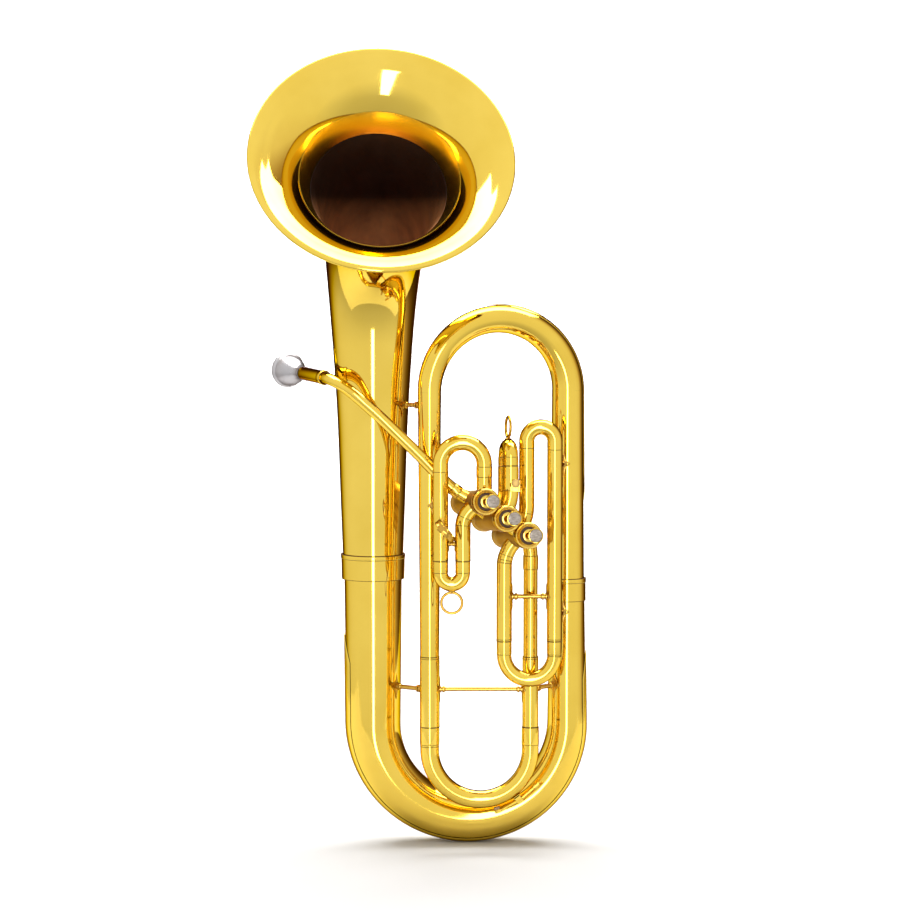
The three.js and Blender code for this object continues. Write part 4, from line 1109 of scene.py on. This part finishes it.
def make_thumb_ring():
    axis = Vector((0.778, 0, 0.628)).normalized()
    centre = Vector((-25.4, -102.5, 350))
    half = [(1.6, 13.7), (2.0, 13.9), (2.6, 13.9), (3.1, 13.2), (3, 12.6), (2.4, 12.4)]
    band = [(-d, r) for d, r in half][::-1] + half
    foot = rod(Vector((-27.5, -85.4, 350)), Vector((-26.6, -89.2, 350)), 3.4, 4.2)
    plate = diamond(Vector((FIRST["left"], FIRST_Y, 350)), 8.1, Vector((3, -8, 0)), 7, 13)
    piece("thumb_ring", together(turned(band, centre, axis, 72), foot, plate), WORN)


def make_lyre_holder():
    socket, axes = Vector((48.2, -91.6, 397)), (X, Y, Z)
    block_side, slot_side, height = 9.8, 5.6, 12
    wall = (block_side - slot_side) / 2
    aside = (slot_side + wall) / 2
    shapes = [block(socket + X * (s * aside), axes, (wall, block_side, height)) for s in (-1, 1)]
    shapes += [block(socket + Y * (s * aside), axes, (slot_side + 0.4, wall, height)) for s in (-1, 1)]
    stalk = socket + Vector((-0.6, slot_side / 2 + 1.6, 0))
    shapes.append(rod(Vector((45.8, -81.4, socket.z)), stalk, 4.3, 3.6))
    piece("lyre_holder", together(*shapes), WORN)
    screw = [
        (0, 0), (0, 1.25), (4, 1.25), (4.2, 3.3), (4.6, 4.1), (5.2, 4.3), (7.2, 4.3), (7.9, 3.9), (8.2, 3.1),
        (8.2, 0),
    ]
    at = socket + Vector((0, -slot_side / 2 - 0.1, 3))
    piece("lyre_screw", turned(screw, at, -Y, 40), DULL, "lyre_screw_body")


make_braces()
make_thumb_ring()
make_lyre_holder()
for owner, shapes in joint_lines.items():
    piece(f"joint_lines_{owner}", together(*shapes), DARK_SEAM, owner)

# ---- Studio ----

CAMERA_DISTANCE = 3100
CAMERA_TILT = math.radians(4.5)
CAMERA_TARGET = Vector((-15.3, 0, 415.7))
LENS, SENSOR = 112.0764, 36


def aimed(name, data, at, look):
    """A camera or a light that looks along a direction."""
    made = bpy.data.objects.new(name, data)
    made.location = at
    made.rotation_mode = "QUATERNION"
    made.rotation_quaternion = look.to_track_quat("-Z", "Y")
    bpy.context.collection.objects.link(made)
    return made


def make_camera():
    data = bpy.data.cameras.new("camera")
    data.sensor_width = SENSOR
    data.lens = LENS
    look = Vector((0, math.cos(CAMERA_TILT), -math.sin(CAMERA_TILT)))
    at = (CAMERA_TARGET - look * CAMERA_DISTANCE) * MM
    bpy.context.scene.camera = aimed("camera", data, at, look)


FLOOR_FRONT, FLOOR_BACK, FLOOR_CURVE, FLOOR_TOP = -0.45, 4.2, 1.0, 1.5


def floor_half_width(y):
    return max(1.0, 0.64 + 0.155 * y)


def make_floor():
    """A pale sheet: a floor that curves up into a backdrop, just wide enough to fill the view."""
    turn = [math.pi / 2 * i / 24 for i in range(25)]
    bend_y, radius = FLOOR_BACK - FLOOR_CURVE, FLOOR_CURVE
    profile = [(FLOOR_FRONT, 0.0), (2.0, 0.0)]
    profile += [(bend_y + radius * math.sin(a), radius - radius * math.cos(a)) for a in turn]
    profile.append((FLOOR_BACK, FLOOR_TOP))
    points = [Vector((s * floor_half_width(y), y, z)) / MM for y, z in profile for s in (-1, 1)]
    faces = [(2 * i, 2 * i + 1, 2 * i + 3, 2 * i + 2) for i in range(len(profile) - 1)]
    floor = mesh_object("floor", points, faces)
    n = painted("pale_floor")
    n.set(Roughness=0.8, Specular_IOR_Level=0.1)
    n.colour(n.noise(3, 2), (0.2, (0.48, 0.48, 0.48)), (0.8, (0.51, 0.51, 0.51)))
    floor.data.materials.append(n.owner)


def area(name, at, target, size, power):
    data = bpy.data.lights.new(name, "AREA")
    data.shape = "RECTANGLE"
    data.size, data.size_y = size
    data.energy = power
    aimed(name, data, at, Vector(target) - Vector(at))


# Brightness of the studio by compass direction: 0 and 1 are the camera's side, 0.25 is the left, 0.5 is
# behind the horn and 0.75 is the right.
WALL = [
    (0.0, 1.0), (0.2, 1.0), (0.3, 0.97), (0.36, 0.85), (0.395, 0.5), (0.42, 0.16), (0.5, 0.07), (0.62, 0.12),
    (0.66, 0.24), (0.7, 0.5), (0.75, 0.88), (0.82, 1.0), (1.0, 1.0),
]
# What the height of the direction, 0 straight down and 1 straight up, makes of it.
HEIGHT = [(0.0, 0.5), (0.25, 0.7), (0.45, 1.0), (0.75, 1.05), (1.0, 1.1)]
# The ramps' colours stay under 1, and this raises the whole.
STRENGTH = 1.2


def warm(value):
    """A grey that goes brown as it darkens."""
    tint = 1 - 0.5 * (1 - value)
    return value, value * tint, value * tint * tint


def make_world():
    """A pale tent round the horn that falls into brown shadow behind it."""
    world = bpy.data.worlds.new("studio")
    bpy.context.scene.world = world
    n = Nodes(world, "Background")
    direction = n.split("Generated")
    turn = n.add("ShaderNodeMath", operation="ARCTAN2")
    n.link(direction["X"], turn.inputs[0])
    n.link(direction["Y"], turn.inputs[1])
    compass = n.span(turn.outputs[0], 0, 1, -math.pi, math.pi)
    wall = n.ramp(compass, *[(place, warm(value)) for place, value in WALL])
    grey = [(place, (value / STRENGTH,) * 3) for place, value in HEIGHT]
    level = n.ramp(n.span(direction["Z"], 0, 1, -1, 1), *grey)
    n.link(n.times(wall, level), n.shader.inputs["Color"])
    n.set(Strength=STRENGTH)


def make_lights():
    """A tall strip behind the camera, a wide panel over the horn and a wash for the backdrop."""
    area("strip", (0.02, -3.6, 0.35), (0.02, 0, 0.35), (0.5, 2.5), 36)
    area("roof", (0, 0.85, 2.5), (0, 0.85, 0), (3.2, 2.1), 200)
    area("wash", (0, 2.6, 2.4), (0, 4.2, 1.2), (2.4, 0.6), 190)


make_camera()
make_floor()
make_world()
make_lights()
bpy.context.scene.view_settings.view_transform = "Standard"
